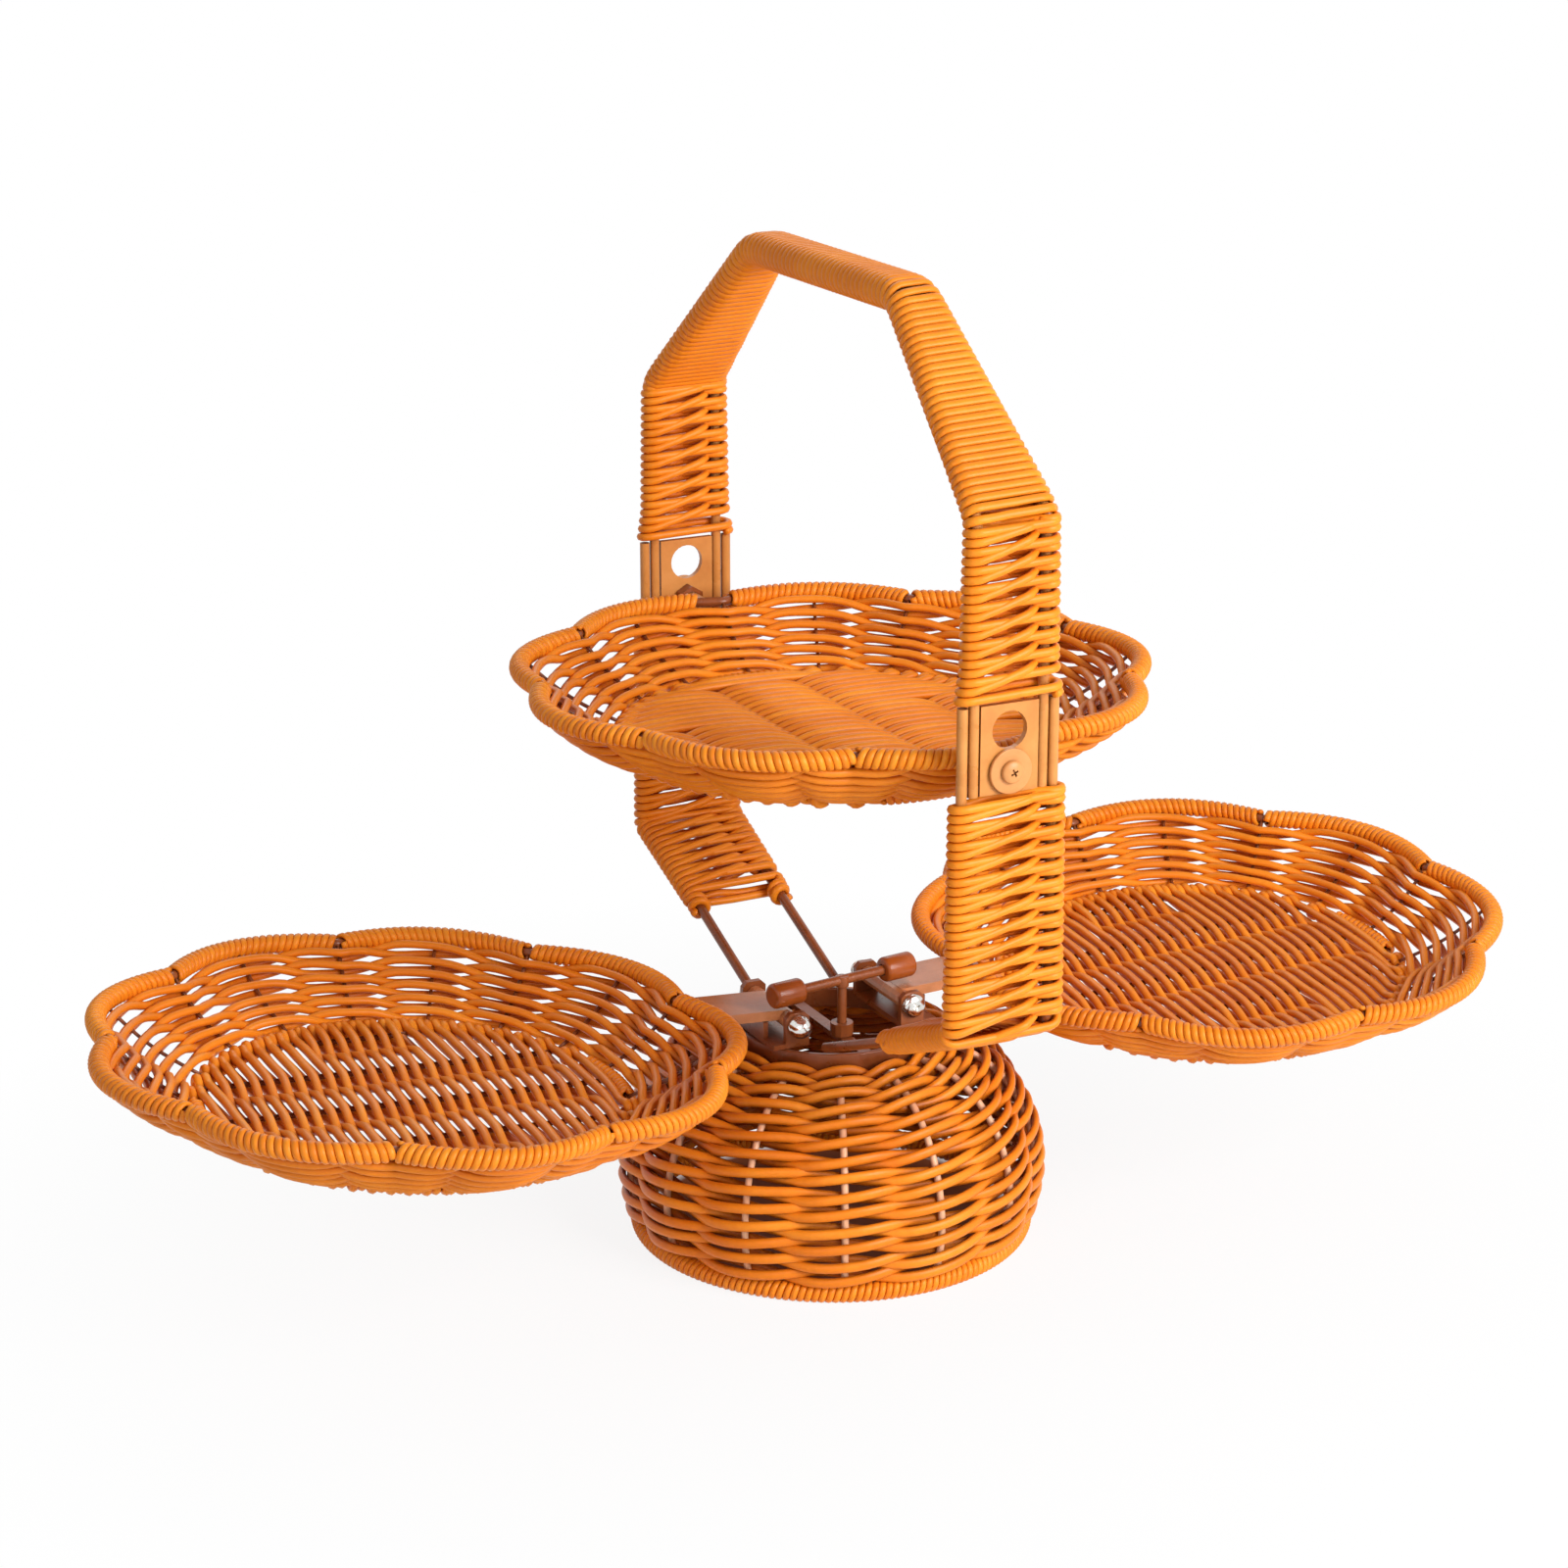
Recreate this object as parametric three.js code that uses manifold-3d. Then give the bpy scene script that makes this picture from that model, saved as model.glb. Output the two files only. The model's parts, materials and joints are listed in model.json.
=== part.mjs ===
import * as THREE from 'three';
import { mergeVertices } from 'three/addons/utils/BufferGeometryUtils.js';
import Module from 'manifold-3d';

const wasm = await Module();
wasm.setup();

// Three-tier cane fruit stand: a woven dome base, two side trays on hinged arms, and an arched
// handle that carries a third tray between its legs.
// Millimetres, +Z up. The origin is the middle of the foot's underside. The side trays lie
// along X, and the handle stands in the YZ plane with one leg at the front and one at the back.

// Fit between neighbouring pieces
const FIT_GAP = 0.3;

// Woven base: a dome on a wrapped foot ring, with a steel band in its mouth
const FOOT_RADIUS = 76.4;
const FOOT_TUBE_RADIUS = 4;
const FOOT_FLAT_DEPTH = 0.5;
const BELLY_RADIUS = 83.8;
const BELLY_HEIGHT = 27;
const DOME_HEIGHT = 80;
const DOME_WALL = 4;
const DOME_ROWS = 14;
const DOME_STAKES = 13;
const DOME_STAKE_TURN = -113.2;
const DOME_RELIEF = 1.6;
const DOME_CROSSING = -0.8;
const BAND_RADIUS = 37;
const BAND_WALL = 2.2;
const BAND_WIDTH = 8;
const BAND_RISE = 5;

// Hinge brackets on the band, one for each side tray
const PIVOT_OFFSET = 25.1;
const PIVOT_HEIGHT = 94;
const BRACKET_PLATE = 2;
const EAR_SPACING = 36;
const EAR_THICKNESS = 2.5;
const EAR_WIDTH = 10;
const EAR_RISE = 5.3;
const EAR_CORNER = 2;
const LIP_THICKNESS = 2;
const LIP_REACH = 10.4;
const BOLT_RADIUS = 2;
const BOLT_END = 4;
const BOLT_HEAD_RADIUS = 4.7;
const BOLT_HEAD_HEIGHT = 3;
const DOME_NUT_RADIUS = 4.5;
const DOME_NUT_LENGTH = 6.5;

// Turning lock bar over the arms
const LOCK_OFFSET = -8.8;
const LOCK_HEIGHT = 104.8;
const LOCK_REST_ANGLE = 8;
const STEM_RADIUS = 1.85;
const LOCK_ROD_RADIUS = 2;
const CAP_RADIUS = 5;
const CAP_LENGTH = 14;
const CAP_END = 33.3;
const CAP_BORE_DEPTH = 10;
const CAP_EDGE = 1.2;
const COLLAR_RADIUS = 4.5;
const COLLAR_HEIGHT = 5;
const CROSS_BAR_WIDTH = 5;
const CROSS_BAR_THICKNESS = 2;
const CROSS_BAR_DROP = 3;

// Side tray arms
const ARM_WIDTH = 23;
const ARM_THICKNESS = 4;
const ARM_RISE = 1.6;
const BARREL_RADIUS = 3.5;
const ARM_REACH = 149;
const TRAY_RISE = 2.8;

// Trays: a scalloped rim, a flared wall, and a round floor inside a wrapped border
const RIM_TUBE_RADIUS = 4;
const SCALLOP_DEPTH = 8.5;
const TRAY_WALL = 4;
const WALL_BULGE = 2;
const TRAY_DEPTH = 25;
const BORDER_RADIUS = 81;
const BORDER_TUBE_RADIUS = 3.5;
const FLOOR_THICKNESS = 5;
const FLOOR_ROWS = 27;
const FLOOR_RELIEF = 1.4;
const TOP_TRAY_LOBES = 9;
const TOP_TRAY_TURN = 86.8;
const TOP_TRAY_HEIGHT = 228.1;
const LEFT_TRAY_RADIUS = 121;
const LEFT_TRAY_LOBES = 9;
const LEFT_TRAY_TURN = 185.6;
const LEFT_TRAY_RAISE_ANGLE = 4.1;
const RIGHT_TRAY_RADIUS = 118.5;
const RIGHT_TRAY_LOBES = 8;
const RIGHT_TRAY_TURN = 179.5;
const RIGHT_TRAY_RAISE_ANGLE = 1.9;
const RIGHT_TRAY_TWIST_ANGLE = 3.5;

// Handle: two bent rods under a tapering grip, with a flat plate between them on each leg
const HANDLE_HEIGHT = 388.3;
const HANDLE_SPREAD = 134.3;
const LEG_CLEARANCE = 9.3;
const TOP_BAR_SPREAD = 59.3;
const SHOULDER_HEIGHT = 317.2;
const KNEE_HEIGHT = 129.4;
const HANDLE_ROD_RADIUS = 2;
const ROD_BEND = 5;
const INNER_ROD_OFFSET = 13.9;
const TOP_ROD_OFFSET = 6;
const OUTER_ROD_OFFSET = 18.3;
const GRIP_TOP_WIDTH = 21;
const GRIP_TOP_DEPTH = 13;
const GRIP_END_WIDTH = 37.5;
const GRIP_END_DEPTH = 8.6;
const UPPER_WRAP_WIDTH = 38.4;
const UPPER_WRAP_DEPTH = 9;
const LOWER_WRAP_WIDTH = 48.4;
const LOWER_WRAP_DEPTH = 10;
const PLATE_RISE = 24.5;
const PLATE_THICKNESS = 2.5;
const WINDOW_RISE = 14.8;
const WINDOW_RADIUS = 7;
const BRACE_WRAP_SHARE = 0.52;
const BRACE_SEAT = 1.2;

// Pins that hang the top tray between the plates
const PIN_DROP = 1.9;
const PIN_RADIUS = 3;
const PIN_HEAD_RADIUS = 4.2;
const PIN_HEAD_HEIGHT = 2.2;
const WASHER_RADIUS = 8.3;
const WASHER_THICKNESS = 1.5;
const PIN_NUT_RADIUS = 5.5;
const PIN_NUT_LENGTH = 5;

// Fineness of the round shapes
const BAND_SEGMENTS = 36;
const DOME_STEPS = 6;
const LOBE_STEPS = 6;
const BORDER_SEGMENTS = 30;
const BORDER_SIDES = 6;
const WASHER_SEGMENTS = 16;
const TUBE_SIDES = 8;
const SMALL_SIDES = 12;
const END_STEPS = 4;
const BEND_STEPS = 3;

const X_AXIS = new THREE.Vector3(1, 0, 0);
const FRONT = -1;
const BACK = 1;
const SIDES = { front: FRONT, back: BACK };
const HANDS = { left: -1, right: 1 };

// Looks, from the photograph
const cane = new THREE.MeshStandardMaterial({ color: 0xe88a2e, roughness: 0.38, metalness: 0 });
const paintedSteel = new THREE.MeshStandardMaterial({ color: 0x9a5226, roughness: 0.4, metalness: 0.1 });
const platePaint = new THREE.MeshStandardMaterial({ color: 0xd08040, roughness: 0.45, metalness: 0.1 });
const capPlastic = new THREE.MeshStandardMaterial({ color: 0xbe5a28, roughness: 0.45, metalness: 0 });
const chrome = new THREE.MeshStandardMaterial({ color: 0xd8d8d4, roughness: 0.15, metalness: 1 });

const stand = new THREE.Group();

// Helpers for shapes

const radians = (degrees) => (degrees * Math.PI) / 180;
const steps = (count) => Array.from({ length: count }, (_, i) => i);
const yz = (y, z) => new THREE.Vector2(y, z);

// Positions only, welded, with the faces turned outward.
function closedSurface(source) {
  const bare = source.clone();
  bare.deleteAttribute('normal');
  bare.deleteAttribute('uv');
  const geometry = mergeVertices(bare, 1e-4);
  const points = geometry.getAttribute('position');
  const index = geometry.getIndex();
  const [a, b, c] = [new THREE.Vector3(), new THREE.Vector3(), new THREE.Vector3()];
  let volume = 0;
  for (let i = 0; i < index.count; i += 3) {
    a.fromBufferAttribute(points, index.getX(i));
    b.fromBufferAttribute(points, index.getX(i + 1));
    c.fromBufferAttribute(points, index.getX(i + 2));
    volume += a.dot(b.cross(c));
  }
  if (volume < 0) {
    for (let i = 0; i < index.count; i += 3) {
      const second = index.getX(i + 1);
      index.setX(i + 1, index.getX(i + 2));
      index.setX(i + 2, second);
    }
  }
  return geometry;
}

function toSolid(source) {
  const geometry = closedSurface(source);
  const vertProperties = new Float32Array(geometry.getAttribute('position').array);
  const triVerts = new Uint32Array(geometry.getIndex().array);
  return new wasm.Manifold(new wasm.Mesh({ numProp: 3, vertProperties, triVerts }));
}

function toGeometry(solid) {
  const { vertProperties, triVerts } = solid.getMesh();
  const geometry = new THREE.BufferGeometry();
  geometry.setAttribute('position', new THREE.BufferAttribute(new Float32Array(vertProperties), 3));
  geometry.setIndex(new THREE.BufferAttribute(new Uint32Array(triVerts), 1));
  return geometry;
}

const joined = (...pieces) => toGeometry(pieces.map(toSolid).reduce((whole, piece) => whole.add(piece)));

const cutBy = (piece, ...tools) => toGeometry(
  tools.map(toSolid).reduce((left, tool) => left.subtract(tool), toSolid(piece)),
);

// A skin over rings of points: a closed loop of rings, or a stack with flat ends.
function loft(rings, isLoop) {
  const sides = rings[0].length;
  const positions = rings.flat().flatMap((point) => point.toArray());
  const index = [];
  const spans = isLoop ? rings.length : rings.length - 1;
  for (let i = 0; i < spans; i += 1) {
    const here = i * sides;
    const next = ((i + 1) % rings.length) * sides;
    for (let j = 0; j < sides; j += 1) {
      const k = (j + 1) % sides;
      index.push(here + j, here + k, next + k, here + j, next + k, next + j);
    }
  }
  if (!isLoop) {
    const last = (rings.length - 1) * sides;
    for (let j = 1; j < sides - 1; j += 1) {
      index.push(0, j + 1, j, last, last + j, last + j + 1);
    }
  }
  const geometry = new THREE.BufferGeometry();
  geometry.setAttribute('position', new THREE.Float32BufferAttribute(positions, 3));
  geometry.setIndex(index);
  return geometry;
}

// A profile of [radius, height] points turned about Z. It closes on itself.
function turned(profile, segments) {
  const points = [...profile, profile[0]].map(([radius, height]) => new THREE.Vector2(radius, height));
  return new THREE.LatheGeometry(points, segments).rotateX(Math.PI / 2);
}

// A profile that starts and ends on the axis, turned about Z.
function turnedSolid(profile, segments) {
  const points = profile.map(([radius, height]) => new THREE.Vector2(radius, height));
  return new THREE.LatheGeometry(points, segments).rotateX(Math.PI / 2);
}

const rod = (radius, low, high, sides) => turnedSolid(
  [[0, low], [radius, low], [radius, high], [0, high]],
  sides,
);

const sleeve = (bore, radius, low, high, sides) => turned(
  [[bore, low], [radius, low], [radius, high], [bore, high]],
  sides,
);

const block = (low, high) => new THREE.BoxGeometry(...steps(3).map((k) => high[k] - low[k]))
  .translate(...steps(3).map((k) => (high[k] + low[k]) / 2));

// Lays a piece made along Z along Y: its top then points to the back (side 1) or front (side -1).
const alongY = (geometry, side) => geometry.rotateX((-side * Math.PI) / 2);

// The corners of a route replaced by short arcs.
function rounded(corners, bend) {
  return corners.flatMap((corner, i) => {
    if (i === 0 || i === corners.length - 1) {
      return [corner];
    }
    const back = corners[i - 1].clone().sub(corner).normalize();
    const ahead = corners[i + 1].clone().sub(corner).normalize();
    const half = back.angleTo(ahead) / 2;
    const bisector = back.clone().add(ahead).normalize();
    const centre = corner.clone().addScaledVector(bisector, bend / Math.sin(half));
    const from = corner.clone().addScaledVector(back, bend / Math.tan(half)).sub(centre);
    const to = corner.clone().addScaledVector(ahead, bend / Math.tan(half)).sub(centre);
    const sweep = Math.PI - 2 * half;
    return steps(BEND_STEPS + 1).map((k) => {
      const share = k / BEND_STEPS;
      const arm = from.clone().multiplyScalar(Math.sin((1 - share) * sweep))
        .addScaledVector(to, Math.sin(share * sweep));
      return centre.clone().addScaledVector(arm, 1 / Math.sin(sweep));
    });
  });
}

// A round rod along a route that never runs along X.
function bentRod(route, radius) {
  return loft(route.map((point, i) => {
    const before = route[Math.max(i - 1, 0)];
    const after = route[Math.min(i + 1, route.length - 1)];
    const along = after.clone().sub(before).normalize();
    const across = X_AXIS.clone().addScaledVector(along, -along.x).normalize();
    const up = along.clone().cross(across);
    return steps(TUBE_SIDES).map((k) => {
      const angle = (2 * Math.PI * (k + 0.5)) / TUBE_SIDES;
      return point.clone().addScaledVector(across, radius * Math.cos(angle))
        .addScaledVector(up, radius * Math.sin(angle));
    });
  }), false);
}

// A flat band of racetrack section in the YZ plane. Where it goes on beyond an end, that end is
// mitred and kept half a gap back, so that two bands meet face to face.
function flatBand({ path, widths, depths, before, after }) {
  const rings = path.map((point, i) => {
    const previous = i > 0 ? path[i - 1] : before;
    const next = i < path.length - 1 ? path[i + 1] : after;
    const arriving = previous ? point.clone().sub(previous).normalize() : null;
    const leaving = next ? next.clone().sub(point).normalize() : null;
    const along = (arriving ?? leaving).clone().add(leaving ?? arriving).normalize();
    const slant = along.dot(arriving ?? leaving);
    const centre = point.clone();
    if (i === 0 && before) {
      centre.addScaledVector(leaving, FIT_GAP / 2 / slant);
    }
    if (i === path.length - 1 && after) {
      centre.addScaledVector(arriving, -FIT_GAP / 2 / slant);
    }
    const round = depths[i] / 2;
    const flat = widths[i] / 2 - round;
    return [1, -1].flatMap((end) => steps(END_STEPS + 1).map((k) => {
      const angle = Math.PI * (k / END_STEPS - 0.5);
      const x = end * (flat + round * Math.cos(angle));
      const offset = (end * round * Math.sin(angle)) / slant;
      return new THREE.Vector3(x, centre.x - along.y * offset, centre.y + along.x * offset);
    }));
  });
  return loft(rings, false);
}

function add(name, geometry, material, parent = stand) {
  const mesh = new THREE.Mesh(closedSurface(geometry), material);
  mesh.name = name;
  parent.add(mesh);
  return mesh;
}

// Base

const footCentre = FOOT_TUBE_RADIUS - FOOT_FLAT_DEPTH;
const footTop = footCentre + FOOT_TUBE_RADIUS;
const domeSegments = 2 * DOME_STAKES;
const domeMouth = (BAND_RADIUS + FIT_GAP) / Math.cos(Math.PI / domeSegments);

function footRing() {
  const flatAngle = Math.asin(footCentre / FOOT_TUBE_RADIUS);
  const sweep = Math.PI + 2 * flatAngle;
  const profile = steps(TUBE_SIDES + 1).map((k) => {
    const angle = -flatAngle + (k / TUBE_SIDES) * sweep;
    return [
      FOOT_RADIUS + FOOT_TUBE_RADIUS * Math.cos(angle),
      footCentre + FOOT_TUBE_RADIUS * Math.sin(angle),
    ];
  });
  return turned(profile, domeSegments);
}

// The dome's outline in even steps, drawn in by a wall thickness for its inner face: a gentle
// swell up to the belly, then a quarter ellipse to the mouth.
function domeOutline(inset, count) {
  const low = footTop + FIT_GAP;
  const belly = BELLY_RADIUS - inset;
  const outline = new THREE.Path();
  outline.moveTo(FOOT_RADIUS + FOOT_TUBE_RADIUS - inset, low);
  outline.quadraticCurveTo(belly, (low + BELLY_HEIGHT) / 2, belly, BELLY_HEIGHT);
  const rise = DOME_HEIGHT - BELLY_HEIGHT - inset;
  outline.absellipse(domeMouth, BELLY_HEIGHT, belly - domeMouth, rise, 0, Math.PI / 2);
  return outline.getSpacedPoints(count);
}

// How far the weave stands out, as a share of its relief. Every row has one strand in front of
// each stake, with a groove above and below it. Midway between stakes its two strands cross and
// lie one over the other, flat in the wall.
function weaveLift(step, segment) {
  if (step === 0 || step === 2 * DOME_ROWS) {
    return 0;
  }
  if (segment % 2 === 1) {
    return DOME_CROSSING;
  }
  return step % 2 === 1 ? 1 : -1;
}

function wovenDome() {
  const outer = domeOutline(0, 2 * DOME_ROWS);
  const inner = domeOutline(DOME_WALL, DOME_STEPS).reverse();
  const outward = outer.map((point, i) => {
    const along = outer[Math.min(i + 1, outer.length - 1)].clone().sub(outer[Math.max(i - 1, 0)]);
    return yz(along.y, -along.x).normalize();
  });
  return loft(steps(domeSegments).map((segment) => {
    const angle = radians(DOME_STAKE_TURN) + (2 * Math.PI * segment) / domeSegments;
    const face = outer.map((point, step) => (
      point.clone().addScaledVector(outward[step], DOME_RELIEF * weaveLift(step, segment))
    ));
    return [...face, ...inner].map(({ x, y }) => (
      new THREE.Vector3(x * Math.cos(angle), x * Math.sin(angle), y)
    ));
  }), true);
}

const bandTop = DOME_HEIGHT + BAND_RISE;
const bandInner = BAND_RADIUS - BAND_WALL;
const bandFlat = bandInner * Math.cos(Math.PI / BAND_SEGMENTS);
const crossBarTop = bandTop - CROSS_BAR_DROP;

add('base_foot', footRing(), cane);
add('base_dome', wovenDome(), cane);
const band = sleeve(bandInner, BAND_RADIUS, bandTop - BAND_WIDTH, bandTop, BAND_SEGMENTS);
add('base_band', band, paintedSteel);

const crossBarReach = Math.sqrt(bandFlat ** 2 - (CROSS_BAR_WIDTH / 2) ** 2) - FIT_GAP;
add('cross_bar', block(
  [-CROSS_BAR_WIDTH / 2, -crossBarReach, crossBarTop - CROSS_BAR_THICKNESS],
  [CROSS_BAR_WIDTH / 2, crossBarReach, crossBarTop],
), paintedSteel);

// Hinge brackets, bolts and nuts

const webBottom = bandTop + FIT_GAP;
const webTop = webBottom + BRACKET_PLATE;
const earInner = EAR_SPACING / 2;
const earOuter = earInner + EAR_THICKNESS;
const earTop = PIVOT_HEIGHT + EAR_RISE;
const boltHole = BOLT_RADIUS + FIT_GAP;

// One ear in its own plane, with the bolt's axis at the middle, standing from -Y to the front.
function ear() {
  const half = EAR_WIDTH / 2;
  const foot = webBottom - PIVOT_HEIGHT;
  const outline = new THREE.Shape();
  outline.moveTo(-half, foot);
  outline.lineTo(half, foot);
  outline.lineTo(half, EAR_RISE - EAR_CORNER);
  outline.lineTo(half - EAR_CORNER, EAR_RISE);
  outline.lineTo(EAR_CORNER - half, EAR_RISE);
  outline.lineTo(-half, EAR_RISE - EAR_CORNER);
  outline.closePath();
  outline.holes.push(new THREE.Path().absarc(0, 0, boltHole, 0, 2 * Math.PI, true));
  const options = { depth: EAR_THICKNESS, bevelEnabled: false, curveSegments: SMALL_SIDES / 2 };
  return new THREE.ExtrudeGeometry(outline, options).rotateX(Math.PI / 2);
}

// The bracket about its bolt's axis, with the tray on its +X side. The lip outside the ears
// holds the arm up at rest.
function bracket(raise) {
  const web = block(
    [-EAR_WIDTH / 2, -earOuter, webBottom - PIVOT_HEIGHT],
    [LIP_REACH, earOuter, webTop - PIVOT_HEIGHT],
  );
  const armUnderside = (ARM_RISE - ARM_THICKNESS / 2) / Math.cos(radians(raise));
  const lipTop = armUnderside + (LIP_REACH - LIP_THICKNESS) * Math.tan(radians(raise)) - FIT_GAP;
  const lip = block(
    [LIP_REACH - LIP_THICKNESS, -ARM_WIDTH / 2, webBottom - PIVOT_HEIGHT],
    [LIP_REACH, ARM_WIDTH / 2, lipTop],
  );
  return joined(
    web,
    lip,
    ear().translate(0, -earInner, 0),
    ear().translate(0, earOuter, 0),
  );
}

// A pan-headed screw along Z: its shank runs down from the seat at z = 0.
function panScrew(shankRadius, shankLength, headRadius, headHeight) {
  return turnedSolid([
    [0, -shankLength],
    [shankRadius, -shankLength],
    [shankRadius, 0],
    [headRadius, 0],
    [headRadius, headHeight * 0.4],
    [headRadius * 0.8, headHeight * 0.85],
    [headRadius * 0.4, headHeight],
    [0, headHeight],
  ], SMALL_SIDES);
}

// A domed nut along Z, with its blind bore opening at z = 0.
function domeNut() {
  const boreDepth = BOLT_END + FIT_GAP;
  const round = DOME_NUT_LENGTH * 0.5;
  const dome = steps(END_STEPS + 1).map((k) => {
    const angle = ((k / END_STEPS) * Math.PI) / 2;
    return [DOME_NUT_RADIUS * Math.cos(angle), DOME_NUT_LENGTH - round + round * Math.sin(angle)];
  });
  return turnedSolid([
    [0, boreDepth],
    [boltHole, boreDepth],
    [boltHole, 0],
    [DOME_NUT_RADIUS, 0],
    ...dome.slice(0, -1),
    [0, DOME_NUT_LENGTH],
  ], SMALL_SIDES);
}

// Trays

const topTray = {
  radius: HANDLE_SPREAD - LEG_CLEARANCE - RIM_TUBE_RADIUS,
  lobes: TOP_TRAY_LOBES,
  turn: TOP_TRAY_TURN,
};
const sideTrays = {
  left: {
    radius: LEFT_TRAY_RADIUS,
    lobes: LEFT_TRAY_LOBES,
    turn: LEFT_TRAY_TURN,
    raise: LEFT_TRAY_RAISE_ANGLE,
    twist: 0,
    boltHead: BACK,
  },
  right: {
    radius: RIGHT_TRAY_RADIUS,
    lobes: RIGHT_TRAY_LOBES,
    turn: RIGHT_TRAY_TURN,
    raise: RIGHT_TRAY_RAISE_ANGLE,
    twist: RIGHT_TRAY_TWIST_ANGLE,
    boltHead: FRONT,
  },
};

// The rim's centreline, with the direction out of it and how far a section stretches there.
function rimFrames({ radius, lobes, turn }) {
  const count = lobes * LOBE_STEPS;
  const pointAt = (i) => {
    const angle = radians(turn) + (2 * Math.PI * i) / count;
    const crest = Math.abs(Math.sin((Math.PI * i) / LOBE_STEPS));
    const reach = radius - SCALLOP_DEPTH * (1 - crest);
    return new THREE.Vector3(reach * Math.cos(angle), reach * Math.sin(angle), 0);
  };
  return steps(count).map((i) => {
    const point = pointAt(i);
    const ahead = pointAt(i + 1).sub(point).normalize();
    const behind = point.clone().sub(pointAt(i - 1)).normalize();
    const along = ahead.clone().add(behind).normalize();
    const out = new THREE.Vector3(along.y, -along.x, 0);
    return { point, out, stretch: 1 / along.dot(ahead) };
  });
}

function trayRim(tray) {
  return loft(rimFrames(tray).map(({ point, out, stretch }) => steps(TUBE_SIDES).map((k) => {
    const angle = (2 * Math.PI * (k + 0.5)) / TUBE_SIDES;
    const ring = point.clone().addScaledVector(out, RIM_TUBE_RADIUS * stretch * Math.cos(angle));
    ring.z = RIM_TUBE_RADIUS * Math.sin(angle);
    return ring;
  })), true);
}

// The flared wall, from the rim's scallops down to the round border.
function trayWall(tray) {
  return loft(rimFrames(tray).map(({ point, out, stretch }) => {
    const radial = point.clone().normalize();
    const top = yz(point.length(), 0);
    const bottom = yz(BORDER_RADIUS, -TRAY_DEPTH);
    const down = bottom.clone().sub(top);
    const length = down.length();
    down.normalize();
    const outward = yz(-down.y, down.x);
    const start = ((RIM_TUBE_RADIUS + FIT_GAP) * stretch) / out.dot(radial);
    const end = length - BORDER_TUBE_RADIUS - FIT_GAP;
    const face = (share, side) => {
      const middle = top.clone().addScaledVector(down, start + (end - start) * share);
      middle.addScaledVector(outward, WALL_BULGE * Math.sin(Math.PI * share) + side * (TRAY_WALL / 2));
      return radial.clone().multiplyScalar(middle.x).setZ(middle.y);
    };
    return [face(0, 1), face(0.5, 1), face(1, 1), face(1, -1), face(0.5, -1), face(0, -1)];
  }), true);
}

function trayBorder() {
  const profile = steps(BORDER_SIDES).map((k) => {
    const angle = (2 * Math.PI * k) / BORDER_SIDES;
    return [
      BORDER_RADIUS + BORDER_TUBE_RADIUS * Math.cos(angle),
      BORDER_TUBE_RADIUS * Math.sin(angle) - TRAY_DEPTH,
    ];
  });
  return turned(profile, BORDER_SEGMENTS);
}

// The round floor, woven in rows along Y: each row has a flat crest on both faces, with a groove
// to the next.
function trayFloor() {
  const borderInner = (BORDER_RADIUS - BORDER_TUBE_RADIUS) * Math.cos(Math.PI / BORDER_SEGMENTS);
  const radius = borderInner - FIT_GAP;
  const pitch = (2 * radius) / FLOOR_ROWS;
  const crest = FLOOR_THICKNESS / 2;
  const section = (share, half) => {
    const x = share * pitch - radius;
    const reach = Math.sqrt(radius ** 2 - x ** 2);
    return [[-reach, half], [reach, half], [reach, -half], [-reach, -half]]
      .map(([y, z]) => new THREE.Vector3(x, y, z - TRAY_DEPTH));
  };
  const sections = steps(FLOOR_ROWS).flatMap((row) => [
    section(row, crest - FLOOR_RELIEF),
    section(row + 0.25, crest),
    section(row + 0.75, crest),
  ]);
  return loft(sections.slice(1), false);
}

// Everything inside the rim's outer edge and its gap, as a tool that trims what ends there.
function insideRim(tray, height) {
  const reach = RIM_TUBE_RADIUS + FIT_GAP;
  const outline = rimFrames(tray).map(({ point, out, stretch }) => {
    const edge = point.clone().addScaledVector(out, reach * stretch);
    return new THREE.Vector2(edge.x, edge.y);
  });
  const options = { depth: height, bevelEnabled: false };
  return new THREE.ExtrudeGeometry(new THREE.Shape(outline), options).translate(0, 0, -height / 2);
}

function addBasket(name, tray, floorTurn, parent) {
  add(`${name}_rim`, trayRim(tray), cane, parent);
  add(`${name}_wall`, trayWall(tray), cane, parent);
  add(`${name}_border`, trayBorder(), cane, parent);
  add(`${name}_floor`, trayFloor().rotateZ(floorTurn), cane, parent);
}

// An arm about its hinge's axis: a barrel between the ears and a flat bar out to the rim.
function trayArm(tray) {
  const barrelHalf = earInner - FIT_GAP;
  const barrel = alongY(rod(BARREL_RADIUS, -barrelHalf, barrelHalf, SMALL_SIDES), BACK);
  const bore = alongY(rod(boltHole, -earOuter, earOuter, SMALL_SIDES), BACK);
  const barLow = ARM_RISE - ARM_THICKNESS / 2;
  const barEnd = ARM_REACH - tray.radius + SCALLOP_DEPTH;
  const bar = block([0, -ARM_WIDTH / 2, barLow], [barEnd, ARM_WIDTH / 2, barLow + ARM_THICKNESS]);
  const trim = insideRim(tray, 4 * ARM_THICKNESS + 4 * RIM_TUBE_RADIUS)
    .rotateX(radians(tray.twist))
    .translate(ARM_REACH, 0, TRAY_RISE);
  return cutBy(joined(barrel, bar), bore, trim);
}

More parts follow.
